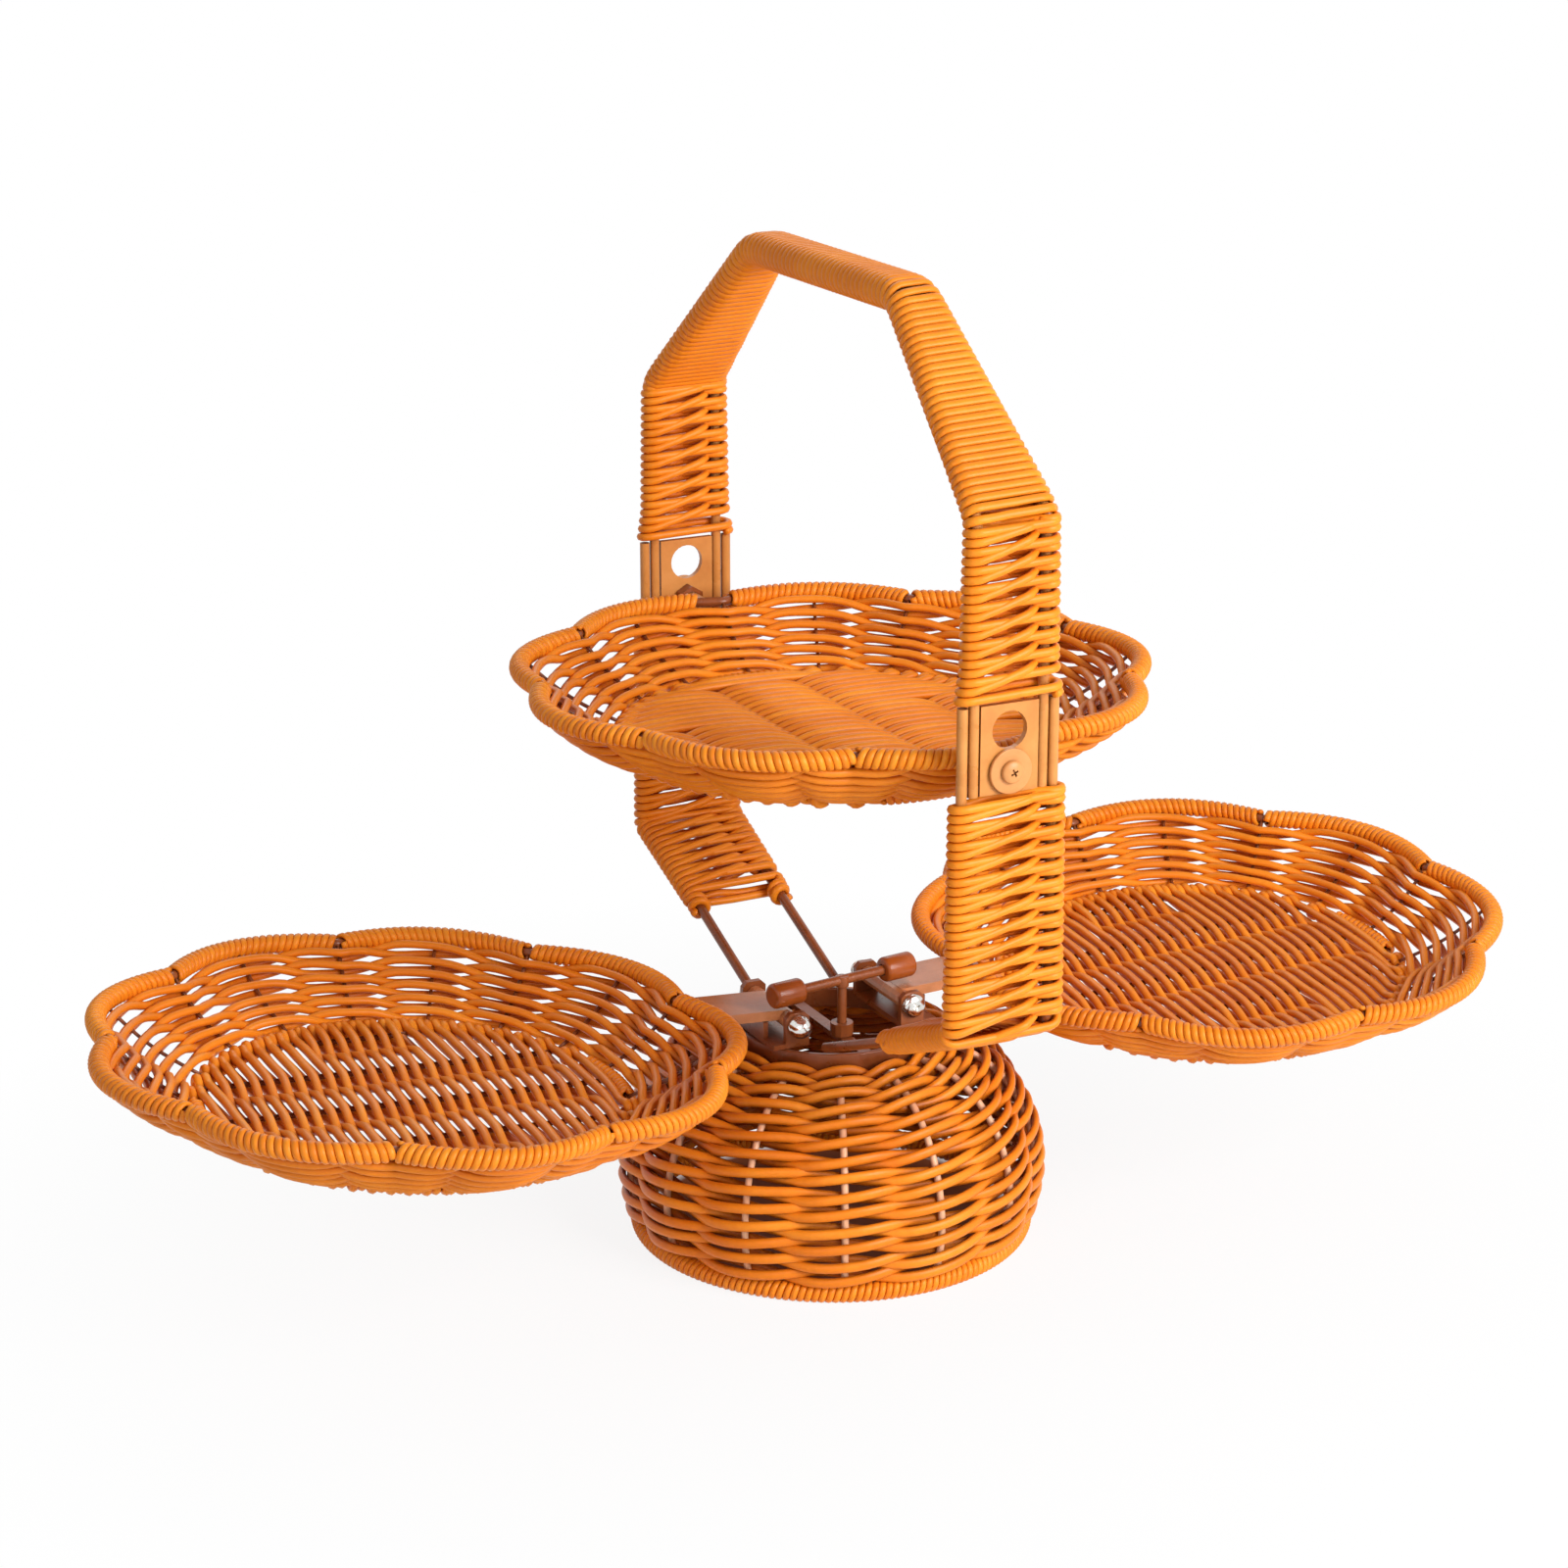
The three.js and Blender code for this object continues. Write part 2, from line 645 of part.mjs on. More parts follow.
for (const [hand, tray] of Object.entries(sideTrays)) {
  const mount = new THREE.Group();
  mount.position.set(HANDS[hand] * PIVOT_OFFSET, 0, PIVOT_HEIGHT);
  mount.rotation.z = hand === 'left' ? Math.PI : 0;
  stand.add(mount);

  // In the turned group of the left hand, the front is at +Y.
  const headSide = tray.boltHead * HANDS[hand];
  add(`${hand}_bracket`, bracket(tray.raise), paintedSteel, mount);
  const seat = earOuter + FIT_GAP;
  const screw = panScrew(BOLT_RADIUS, 2 * seat + BOLT_END, BOLT_HEAD_RADIUS, BOLT_HEAD_HEIGHT);
  add(`${hand}_hinge_bolt`, alongY(screw.translate(0, 0, seat), headSide), chrome, mount);
  add(`${hand}_hinge_nut`, alongY(domeNut().translate(0, 0, seat), -headSide), chrome, mount);

  const swing = new THREE.Group();
  swing.rotation.y = -radians(tray.raise);
  mount.add(swing);
  add(`${hand}_arm`, trayArm(tray), paintedSteel, swing);

  const basket = new THREE.Group();
  basket.position.set(ARM_REACH, 0, TRAY_RISE);
  basket.rotation.x = radians(tray.twist);
  swing.add(basket);
  addBasket(`${hand}_tray`, tray, 0, basket);
}

// Lock bar: a stem that turns in its collar, with a capped rod across its top

const collar = sleeve(
  STEM_RADIUS + FIT_GAP,
  COLLAR_RADIUS,
  crossBarTop + FIT_GAP,
  crossBarTop + FIT_GAP + COLLAR_HEIGHT,
  SMALL_SIDES,
);
add('stem_collar', collar.translate(0, LOCK_OFFSET, 0), paintedSteel);

const lock = new THREE.Group();
lock.position.set(0, LOCK_OFFSET, 0);
lock.rotation.z = radians(LOCK_REST_ANGLE);
stand.add(lock);

const alongX = (geometry) => geometry.rotateY(Math.PI / 2);
const lockRodReach = CAP_END - CAP_LENGTH + CAP_BORE_DEPTH - FIT_GAP;
add('lock_bar', joined(
  rod(STEM_RADIUS, crossBarTop + FIT_GAP, LOCK_HEIGHT, SMALL_SIDES),
  alongX(rod(LOCK_ROD_RADIUS, -lockRodReach, lockRodReach, SMALL_SIDES)).translate(0, 0, LOCK_HEIGHT),
), paintedSteel, lock);

// A cap along Z, with its blind bore opening at the inner end.
function lockCap() {
  const inner = CAP_END - CAP_LENGTH;
  const bore = LOCK_ROD_RADIUS + FIT_GAP;
  return turnedSolid([
    [0, inner + CAP_BORE_DEPTH],
    [bore, inner + CAP_BORE_DEPTH],
    [bore, inner],
    [CAP_RADIUS - CAP_EDGE, inner],
    [CAP_RADIUS, inner + CAP_EDGE],
    [CAP_RADIUS, CAP_END - CAP_EDGE],
    [CAP_RADIUS - CAP_EDGE, CAP_END],
    [0, CAP_END],
  ], SMALL_SIDES);
}

for (const [hand, side] of Object.entries(HANDS)) {
  const cap = alongX(lockCap());
  if (side < 0) {
    cap.rotateZ(Math.PI);
  }
  add(`${hand}_lock_cap`, cap.translate(0, 0, LOCK_HEIGHT), capPlastic, lock);
}

// Handle

const topBarHeight = HANDLE_HEIGHT - GRIP_TOP_DEPTH / 2;
const pinHeight = TOP_TRAY_HEIGHT - PIN_DROP;
const plateBottom = pinHeight - WASHER_RADIUS;
const plateTop = pinHeight + PLATE_RISE;
const kneeSlope = Math.atan2(
  KNEE_HEIGHT - bandTop - HANDLE_ROD_RADIUS,
  HANDLE_SPREAD - BAND_RADIUS,
);
const bandLanding = Math.sqrt(BAND_RADIUS ** 2 - OUTER_ROD_OFFSET ** 2) - BRACE_SEAT;
const rodLanding = bandTop + FIT_GAP + HANDLE_ROD_RADIUS / Math.cos(kneeSlope);

// The middle line of the handle in the YZ plane, for one leg
const plateFoot = (side) => yz(side * HANDLE_SPREAD, plateBottom);
const plateHead = (side) => yz(side * HANDLE_SPREAD, plateTop);
const shoulder = (side) => yz(side * HANDLE_SPREAD, SHOULDER_HEIGHT);
const crown = (side) => yz(side * TOP_BAR_SPREAD, topBarHeight);
const knee = (side) => yz(side * HANDLE_SPREAD, KNEE_HEIGHT);
const braceEnd = (side) => yz(side * bandLanding, rodLanding);

const at = (x, point) => new THREE.Vector3(x, point.x, point.y);

function innerRodRoute(hand) {
  return rounded([
    at(hand * INNER_ROD_OFFSET, plateFoot(FRONT)),
    at(hand * INNER_ROD_OFFSET, shoulder(FRONT)),
    at(hand * TOP_ROD_OFFSET, crown(FRONT)),
    at(hand * TOP_ROD_OFFSET, crown(BACK)),
    at(hand * INNER_ROD_OFFSET, shoulder(BACK)),
    at(hand * INNER_ROD_OFFSET, plateFoot(BACK)),
  ], ROD_BEND);
}

function legRodRoute(hand, side) {
  return rounded([
    at(hand * OUTER_ROD_OFFSET, plateHead(side)),
    at(hand * OUTER_ROD_OFFSET, knee(side)),
    at(hand * OUTER_ROD_OFFSET, braceEnd(side)),
  ], ROD_BEND);
}

const channelRadius = HANDLE_ROD_RADIUS + FIT_GAP;
const innerChannels = Object.values(HANDS).map((hand) => bentRod(innerRodRoute(hand), channelRadius));

for (const [hand, handSide] of Object.entries(HANDS)) {
  add(`handle_rod_${hand}`, bentRod(innerRodRoute(handSide), HANDLE_ROD_RADIUS), paintedSteel);
}

add('handle_grip', cutBy(flatBand({
  path: [shoulder(FRONT), crown(FRONT), crown(BACK), shoulder(BACK)],
  widths: [GRIP_END_WIDTH, GRIP_TOP_WIDTH, GRIP_TOP_WIDTH, GRIP_END_WIDTH],
  depths: [GRIP_END_DEPTH, GRIP_TOP_DEPTH, GRIP_TOP_DEPTH, GRIP_END_DEPTH],
  before: plateHead(FRONT),
  after: plateHead(BACK),
}), ...innerChannels), cane);

// A plate with its round window and the pin's hole, standing in the XZ plane.
function legPlate() {
  const half = INNER_ROD_OFFSET - HANDLE_ROD_RADIUS - FIT_GAP;
  const outline = new THREE.Shape();
  outline.moveTo(-half, plateBottom);
  outline.lineTo(half, plateBottom);
  outline.lineTo(half, plateTop);
  outline.lineTo(-half, plateTop);
  outline.closePath();
  const holes = [[pinHeight + WINDOW_RISE, WINDOW_RADIUS], [pinHeight, PIN_RADIUS + FIT_GAP]];
  for (const [height, radius] of holes) {
    outline.holes.push(new THREE.Path().absarc(0, height, radius, 0, 2 * Math.PI, true));
  }
  const options = { depth: PLATE_THICKNESS, bevelEnabled: false, curveSegments: SMALL_SIDES };
  return new THREE.ExtrudeGeometry(outline, options)
    .rotateX(Math.PI / 2)
    .translate(0, PLATE_THICKNESS / 2, 0);
}

for (const [name, side] of Object.entries(SIDES)) {
  add(`${name}_plate`, legPlate().translate(0, side * HANDLE_SPREAD, 0), platePaint);

  add(`${name}_upper_wrap`, cutBy(flatBand({
    path: [plateHead(side).add(yz(0, FIT_GAP)), shoulder(side)],
    widths: [UPPER_WRAP_WIDTH, UPPER_WRAP_WIDTH],
    depths: [UPPER_WRAP_DEPTH, UPPER_WRAP_DEPTH],
    after: crown(side),
  }), ...innerChannels), cane);

  const legChannels = Object.values(HANDS).map((hand) => bentRod(legRodRoute(hand, side), channelRadius));
  for (const [hand, handSide] of Object.entries(HANDS)) {
    add(`${name}_leg_rod_${hand}`, bentRod(legRodRoute(handSide, side), HANDLE_ROD_RADIUS), paintedSteel);
  }

  add(`${name}_lower_wrap`, cutBy(flatBand({
    path: [plateFoot(side).sub(yz(0, FIT_GAP)), knee(side)],
    widths: [LOWER_WRAP_WIDTH, LOWER_WRAP_WIDTH],
    depths: [LOWER_WRAP_DEPTH, LOWER_WRAP_DEPTH],
    after: braceEnd(side),
  }), ...legChannels), cane);

  add(`${name}_brace_wrap`, cutBy(flatBand({
    path: [knee(side), knee(side).lerp(braceEnd(side), BRACE_WRAP_SHARE)],
    widths: [LOWER_WRAP_WIDTH, LOWER_WRAP_WIDTH],
    depths: [LOWER_WRAP_DEPTH, LOWER_WRAP_DEPTH],
    before: plateFoot(side),
  }), ...legChannels), cane);
}

// Top tray, with its pins, washers and nuts

const hanger = new THREE.Group();
hanger.position.set(0, 0, TOP_TRAY_HEIGHT);
stand.add(hanger);
addBasket('top_tray', topTray, Math.PI / 2, hanger);

const pinHole = PIN_RADIUS + FIT_GAP;
const plateOuter = HANDLE_SPREAD + PLATE_THICKNESS / 2;
const plateInner = HANDLE_SPREAD - PLATE_THICKNESS / 2;
const washerInner = plateOuter + FIT_GAP;
const washerOuter = washerInner + WASHER_THICKNESS;
const pinSeat = washerOuter + FIT_GAP;
const nutOuter = plateInner - FIT_GAP;
const nutInner = nutOuter - PIN_NUT_LENGTH;

for (const [name, side] of Object.entries(SIDES)) {
  const shank = pinSeat - topTray.radius + SCALLOP_DEPTH;
  const pin = alongY(
    panScrew(PIN_RADIUS, shank, PIN_HEAD_RADIUS, PIN_HEAD_HEIGHT).translate(0, 0, pinSeat),
    side,
  ).translate(0, 0, pinHeight);
  const trim = insideRim(topTray, 4 * PIN_RADIUS + 4 * RIM_TUBE_RADIUS).translate(0, 0, TOP_TRAY_HEIGHT);
  add(`${name}_pin`, cutBy(pin, trim), paintedSteel);

  const washer = sleeve(pinHole, WASHER_RADIUS, washerInner, washerOuter, WASHER_SEGMENTS);
  add(`${name}_washer`, alongY(washer, side).translate(0, 0, pinHeight), platePaint);

  const nut = cutBy(
    rod(PIN_NUT_RADIUS, nutInner, nutOuter, 6),
    rod(pinHole, nutInner - PIN_NUT_LENGTH, nutOuter + PIN_NUT_LENGTH, SMALL_SIDES),
  );
  add(`${name}_pin_nut`, alongY(nut, side).translate(0, 0, pinHeight), paintedSteel);
}

export default stand;
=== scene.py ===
"""Three-tier cane fruit stand: the weave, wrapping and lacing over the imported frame, with its looks."""

import json
import math

import bpy
import numpy as np
from mathutils import Matrix, Vector


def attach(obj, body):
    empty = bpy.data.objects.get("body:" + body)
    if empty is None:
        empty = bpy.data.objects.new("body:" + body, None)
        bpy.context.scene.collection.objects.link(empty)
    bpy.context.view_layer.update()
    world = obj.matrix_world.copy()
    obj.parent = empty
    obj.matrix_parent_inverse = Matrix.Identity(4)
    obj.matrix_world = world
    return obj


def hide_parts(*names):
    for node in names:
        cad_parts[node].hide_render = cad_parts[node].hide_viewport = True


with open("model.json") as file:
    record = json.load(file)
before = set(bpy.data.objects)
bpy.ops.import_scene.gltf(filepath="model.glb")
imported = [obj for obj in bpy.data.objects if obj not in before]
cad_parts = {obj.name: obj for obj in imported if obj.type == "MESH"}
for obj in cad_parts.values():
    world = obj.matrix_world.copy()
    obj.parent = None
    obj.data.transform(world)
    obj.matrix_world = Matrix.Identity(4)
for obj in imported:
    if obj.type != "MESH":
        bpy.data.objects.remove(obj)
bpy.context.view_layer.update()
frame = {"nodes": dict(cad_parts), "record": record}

# Lengths are millimetres and angles degrees. Materials and stage are in metres.
MM = 0.001
UP = np.array([0.0, 0.0, 1.0])
SIDEWAYS = np.array([1.0, 0.0, 0.0])
HANDS = {"left": -1, "right": 1}
LEGS = {"front": -1, "back": 1}

# Hinges and trays
PIVOT_OFFSET = 25.1
PIVOT_HEIGHT = 94.0
ARM_REACH = 149.0
TRAY_RISE = 2.8
RIM_TUBE = 4.0
SCALLOP_DEPTH = 8.5
WALL_BULGE = 2.0
TRAY_DEPTH = 25.0
BORDER_RADIUS = 81.0
TRAYS = {
    "left_tray": {"radius": 121.0, "lobes": 9, "turn": 185.6, "raise": 4.1, "twist": 0.0},
    "right_tray": {"radius": 118.5, "lobes": 8, "turn": 179.5, "raise": 1.9, "twist": 3.5},
    "top_tray": {"radius": 121.0, "lobes": 9, "turn": 86.8, "height": 228.1},
}

# Hinge and lock hardware
FIT_GAP = 0.3
BOLT_RADIUS = 2.0
BOLT_SEAT = 20.8
BOLT_END = 4.0
BOLT_HEAD = 4.7
BOLT_HEAD_HEIGHT = 3.0
DOME_NUT = 4.5
DOME_NUT_LENGTH = 6.5
LOCK_OFFSET = -8.8
LOCK_HEIGHT = 104.8
LOCK_TURN = 8.0
STEM_RADIUS = 1.85
LOCK_ROD = 2.0
CAP_RADIUS = 5.0
CAP_LENGTH = 14.0
CAP_END = 33.3
CAP_BORE = 10.0
CAP_EDGE = 1.6
BAND_RADIUS = 37.0
BAND_WALL = 2.2
BAND_WIDTH = 8.0
BAND_TOP = 85.0
BAND_EDGE = 0.6
CROSS_BAR_TOP = 82.0
HUB_RIM = 2.2
HUB_EDGE = 0.5
HUB_HEIGHTS = (-2.6, -2.2, 1.2, 1.9)

# Pins of the top tray
PLATE_THICKNESS = 2.5
PIN_HEIGHT = 226.2
PIN_RADIUS = 3.0
PIN_HEAD = 4.2
PIN_HEAD_HEIGHT = 2.2
WASHER_RADIUS = 8.3
WASHER_THICKNESS = 1.5
RIM_NOTCH = TRAYS["top_tray"]["radius"] - SCALLOP_DEPTH

# Screws and nuts: a recess is given by the reach of its arms
PIN_RECESS = 1.5
PIN_TURN = 28
BOLT_RECESS = 1.7
BOLT_TURN = 20
RECESS_ARM_SHARE = 0.24
RECESS_DEPTH_SHARE = 0.4
RECESS_CLEARANCE = 1.0
HEAD_RIM_SHARE = 0.35
HEAD_SWEEP = (8, 84)
DOME_SHARE = 0.95
DOME_SWEEP = (0, 86)
NUT_EDGE = 0.3
NUT_COLLAR = 0.4
WASHER_EDGE = 0.4

# Cane of the trays
TRAY_STRAND = 1.72
WALL_STAKE = 0.8
WRAP_WIDTH = 1.45
WRAP_DEPTH = 1.0
RIM_CORE = 2.0
RIM_PITCH = 2.85
STAKE_WIRE = 1.0
WALL_ROWS = 6
FLOOR_PITCH = 5.8
FLOOR_STRAND = 1.75
FLOOR_SWAY = 0.3
FLOOR_ROWS = 27
FLOOR_STAKE_SPACING = 35.0
FLOOR_STAKE_MARGIN = 9.0
FLOOR_DRIFT = 0.5
LOOP_RADIUS = 2.6
LOOP_START = 4.5
LOOP_SWEEP = (130, -150)
WALL_TUCK = 0.4
WALL_SWAY = 0.25
ROW_DRIFT = 0.25
STAKE_DRIFT = 0.12
STAKE_OVERRUN = 0.08
TWIST_HASTE = 0.3
BARE_RIM = {
    "left_tray": [(176.5, 183.5)],
    "right_tray": [(176.5, 183.5)],
    "top_tray": [(86.0, 91.5), (267.0, 273.0)],
}

# Points along the strands
SAMPLES_PER_STAKE = 10
SAMPLES_PER_LOBE = 48
SAMPLES_PER_WRAP = 60
SAMPLES_PER_TURN = 14
SAMPLES_PER_GRIP_TURN = 26
STRAND_STEP = 1.3
LACE_STEP = 1.2

# Base
FOOT_RADIUS = 76.4
FOOT_CENTRE = 3.5
FOOT_TUBE = 4.0
FOOT_PITCH = 2.7
FOOT_WRAP_WIDTH = 1.35
BELLY_RADIUS = 83.8
BELLY_HEIGHT = 27.0
DOME_HEIGHT = 80.0
DOME_MOUTH = 37.3
DOME_LOW = 7.8
DOME_INSET = 3.0
BASE_STAKES = 13
BASE_STAKE_START = -113.2
BASE_ROWS = 14
BASE_STRAND = 2.12
BASE_STRAND_DEPTH = 1.6
BASE_WIRE = 1.4
BASE_STAKE_TUCK = 0.02
BASE_SWAY = 0.25
BASE_ROW_DRIFT = 0.22
BASE_STAKE_DRIFT = 0.1
BASE_TWIST_HASTE = 0.1

# Handle
HANDLE_HEIGHT = 388.3
HANDLE_SPREAD = 134.3
CROWN_SPREAD = 59.3
SHOULDER_HEIGHT = 317.2
KNEE_HEIGHT = 129.4
INNER_ROD = 13.9
OUTER_ROD = 18.3
HANDLE_ROD = 2.0
ROD_BEND = 5.0
CROWN_ROD = 6.0
GRIP_TOP = (21.0, 13.0)
CROWN_HEIGHT = HANDLE_HEIGHT - GRIP_TOP[1] / 2
GRIP_END = (37.5, 8.6)
GRIP_PITCH = 3.3
GRIP_TAIL = 4.0
GRIP_INSET = 1.0
GRIP_OVERLAP = 0.03
GRIP_SWELL = 0.1
BEND_PASSES = 7
GRIP_BEND_PASSES = 24
LACE_STRAND = 1.65
LACE_PITCH = 3.35
LACE_START = 0.25
LACE_LOWEST = 0.2
LACE_EASE = 1.7
LACE_GAP = 0.3
LACE_UNDER_GRIP = 3.0
LACE_FLARE = 1.2
UPPER_FLARE = 2.9
UPPER_FLARE_AT = 0.8
UPPER_FLARE_SHARE = 0.3
BRACE_TURNS = 2
PLATE_TOP = 250.7
PLATE_FOOT = 217.9
BRACE_END = (31.0, 87.5)
BRACE_SHARE = 0.52

rng = np.random.default_rng(7)


# Meshes

def unit(vectors):
    return vectors / np.linalg.norm(vectors, axis=-1, keepdims=True)


def tube(route, reference, width, depth=None, sides=8, closed=False):
    """A strand along a route: width along the reference direction, depth across it."""
    depth = width if depth is None else depth
    if closed:
        along = unit(np.roll(route, -1, axis=0) - np.roll(route, 1, axis=0))
    else:
        along = unit(np.gradient(route, axis=0))
    across = unit(np.cross(along, np.broadcast_to(reference, route.shape)))
    up = np.cross(across, along)
    angle = 2 * np.pi * np.arange(sides) / sides
    cosine, sine = np.cos(angle)[:, None], np.sin(angle)[:, None]
    ring = depth * cosine * across[:, None] + width * sine * up[:, None]
    points = (route[:, None] + ring).reshape(-1, 3)
    count = len(route)
    here = np.arange(count if closed else count - 1)[:, None] * sides
    there = (here + sides) % (count * sides)
    j = np.arange(sides)[None]
    k = (j + 1) % sides
    faces = [np.stack([here + j, here + k, there + k, there + j], axis=-1).reshape(-1, 4)]
    if not closed:
        i = np.arange(sides // 2 - 1)
        cap = np.stack([i, i + 1, sides - 2 - i, sides - 1 - i], axis=-1)
        faces += [cap[:, ::-1], cap + (count - 1) * sides]
    return points, np.concatenate(faces)


def place(parts, matrix):
    move = np.array(matrix)
    return [(points @ move[:3, :3].T + move[:3, 3], faces) for points, faces in parts]


def facing_y(side, x, y, z):
    """The placing of a shape made along Z, with its top to the front (-1) or to the back (1)."""
    return Matrix.Translation((x, y, z)) @ Matrix.Rotation(math.radians(-90 * side), 4, "X")


def make_mesh(name, parts):
    offset, points, faces = 0, [], []
    for part_points, part_faces in parts:
        points.append(part_points)
        if isinstance(part_faces, np.ndarray):
            faces += (part_faces + offset).tolist()
        else:
            faces += [[i + offset for i in face] for face in part_faces]
        offset += len(part_points)
    mesh = bpy.data.meshes.new(name)
    mesh.from_pydata((np.concatenate(points) * MM).tolist(), [], faces)
    mesh.polygons.foreach_set("use_smooth", [True] * len(mesh.polygons))
    return mesh


def build(name, parts, body, material, replaces=(), cutter=None, sharp=None):
    """One piece from several closed strands or turned shapes, riding on a body."""
    mesh = make_mesh(name, parts)
    if cutter:
        mesh = carve(mesh, make_mesh("cutter", cutter))
    if sharp:
        mesh.set_sharp_from_angle(angle=math.radians(sharp))
    mesh.materials.append(material)
    piece = bpy.data.objects.new(name, mesh)
    bpy.context.scene.collection.objects.link(piece)
    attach(piece, body)
    if replaces:
        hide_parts(*replaces)


def carve(mesh, tool):
    """The mesh with the tool's shape cut out of it."""
    whole, cutter = bpy.data.objects.new("whole", mesh), bpy.data.objects.new("cutter", tool)
    for piece in (whole, cutter):
        bpy.context.scene.collection.objects.link(piece)
    cut = whole.modifiers.new("recess", "BOOLEAN")
    cut.operation, cut.solver, cut.object = "DIFFERENCE", "EXACT", cutter
    depsgraph = bpy.context.evaluated_depsgraph_get()
    carved = bpy.data.meshes.new_from_object(whole.evaluated_get(depsgraph))
    for piece in (whole, cutter):
        bpy.data.objects.remove(piece)
    return carved


def revolve(profile, segments=48):
    """A profile of (radius, height) points turned about Z: from axis to axis, or a closed loop."""
    profile = np.array(profile, dtype=float)
    is_solid = profile[0, 0] == 0 and profile[-1, 0] == 0
    rings = profile[1:-1] if is_solid else profile
    angle = 2 * np.pi * np.arange(segments) / segments
    spokes = np.stack([np.cos(angle), np.sin(angle)], axis=-1)
    flat = rings[:, None, :1] * spokes[None]
    height = np.broadcast_to(rings[:, None, 1:], (*flat.shape[:2], 1))
    points = np.concatenate([flat, height], axis=-1).reshape(-1, 3)
    faces = []
    for i in range(len(rings) - 1 if is_solid else len(rings)):
        here, there = i * segments, (i + 1) % len(rings) * segments
        for j in range(segments):
            k = (j + 1) % segments
            faces.append([here + j, here + k, there + k, there + j])
    if is_solid:
        last = (len(rings) - 1) * segments
        faces += [list(range(segments))[::-1], list(range(last, last + segments))]
    return points, faces


def round_edge(corner, radius, start, count=5):
    """The points of a quarter round at a profile's corner, from the start angle on."""
    sweep = np.radians(start + np.linspace(0, 90, count))
    return [(corner[0] + radius * math.cos(a), corner[1] + radius * math.sin(a)) for a in sweep]


def distances(route):
    """How far along the route each of its points lies."""
    steps = np.linalg.norm(np.diff(route, axis=0), axis=1)
    return np.concatenate([[0], np.cumsum(steps)])


def values_at(at, run, values):
    """A route's values at other distances than its own points'."""
    return np.stack([np.interp(at, run, column) for column in values.T], axis=-1)


def resample(route, step):
    """The same line with evenly spaced points."""
    run = distances(route)
    at = np.linspace(0, run[-1], max(2, int(round(run[-1] / step)) + 1))
    return values_at(at, run, route)


def soften(route, passes):
    for _ in range(passes):
        inner = (route[:-2] + 2 * route[1:-1] + route[2:]) / 4
        route = np.concatenate([route[:1], inner, route[-1:]])
    return route


def wobble(size):
    """A smooth uneven line round a ring, as hands make it."""
    waves = np.arange(2, 7)[:, None]
    phases = rng.uniform(0, 2 * np.pi, len(waves))[:, None]
    heights = rng.uniform(0.4, 1.0, len(waves))[:, None] * size / len(waves)
    return lambda angle: (heights * np.sin(waves * angle + phases)).sum(axis=0)


def twist(turns, haste=TWIST_HASTE):
    """The angle of a twined pair: half a turn from stake to stake, quickest midway."""
    return np.pi * turns - haste * np.sin(2 * np.pi * turns)


# Materials

# A span gives the openness at which the painted crevice shade starts and ends.
CREVICE_SHADE_REACH = 0.1
CREVICE_SHADE_SPAN = (0.08, 0.5)
SHELTER_SAMPLES = 2
CONTACT_SHADE_REACH = 0.006
CONTACT_SHADE_SHARE = 0.3
CANE_TONES = {"strand": 0.24, "clouds": 0.56, "streaks": 0.2}
CANE_GLOSS = (0.32, 0.46)
CANE_SPECULAR = 0.25
PAINT_SPECULAR = 0.35
CHROME_GLOSS = (0.08, 0.24)


def new_material(name):
    material = bpy.data.materials.new(name)
    material.use_nodes = True
    nodes = material.node_tree.nodes
    shader = nodes["Principled BSDF"]
    return material, nodes, material.node_tree.links, shader


def noise_node(nodes, links, coordinates, scale, detail, roughness=0.5):
    node = nodes.new("ShaderNodeTexNoise")
    node.inputs["Scale"].default_value = scale
    node.inputs["Detail"].default_value = detail
    node.inputs["Roughness"].default_value = roughness
    links.new(coordinates, node.inputs["Vector"])
    return node


def ramp_node(nodes, links, factor, stops):
    node = nodes.new("ShaderNodeValToRGB")
    ramp = node.color_ramp
    ramp.elements[0].position, ramp.elements[0].color = stops[0][0], (*stops[0][1], 1)
    ramp.elements[1].position, ramp.elements[1].color = stops[-1][0], (*stops[-1][1], 1)
    for position, colour in stops[1:-1]:
        ramp.elements.new(position).color = (*colour, 1)
    links.new(factor, node.inputs["Fac"])
    return node


def range_node(nodes, links, value, low, high):
    node = nodes.new("ShaderNodeMapRange")
    node.inputs["To Min"].default_value = low
    node.inputs["To Max"].default_value = high
    links.new(value, node.inputs["Value"])
    return node


def height_node(nodes, low, high):
    """0 below one height and 1 above the other, in metres."""
    links = nodes.id_data.links
    spot = nodes.new("ShaderNodeNewGeometry").outputs["Position"]
    split = nodes.new("ShaderNodeSeparateXYZ")
    links.new(spot, split.inputs["Vector"])
    rise = nodes.new("ShaderNodeMapRange")
    rise.interpolation_type = "SMOOTHSTEP"
    rise.inputs["From Min"].default_value = low
    rise.inputs["From Max"].default_value = high
    links.new(split.outputs["Z"], rise.inputs["Value"])
    return rise.outputs["Result"]


def math_node(nodes, links, kind, first, second):
    node = nodes.new("ShaderNodeMath")
    node.operation = kind
    for socket, value in zip(node.inputs, (first, second)):
        if isinstance(value, (int, float)):
            socket.default_value = value
        else:
            links.new(value, socket)
    return node.outputs["Value"]


def bump_node(nodes, links, height, distance, strength, shader):
    node = nodes.new("ShaderNodeBump")
    node.inputs["Strength"].default_value = strength
    node.inputs["Distance"].default_value = distance
    links.new(height, node.inputs["Height"])
    links.new(node.outputs["Normal"], shader.inputs["Normal"])


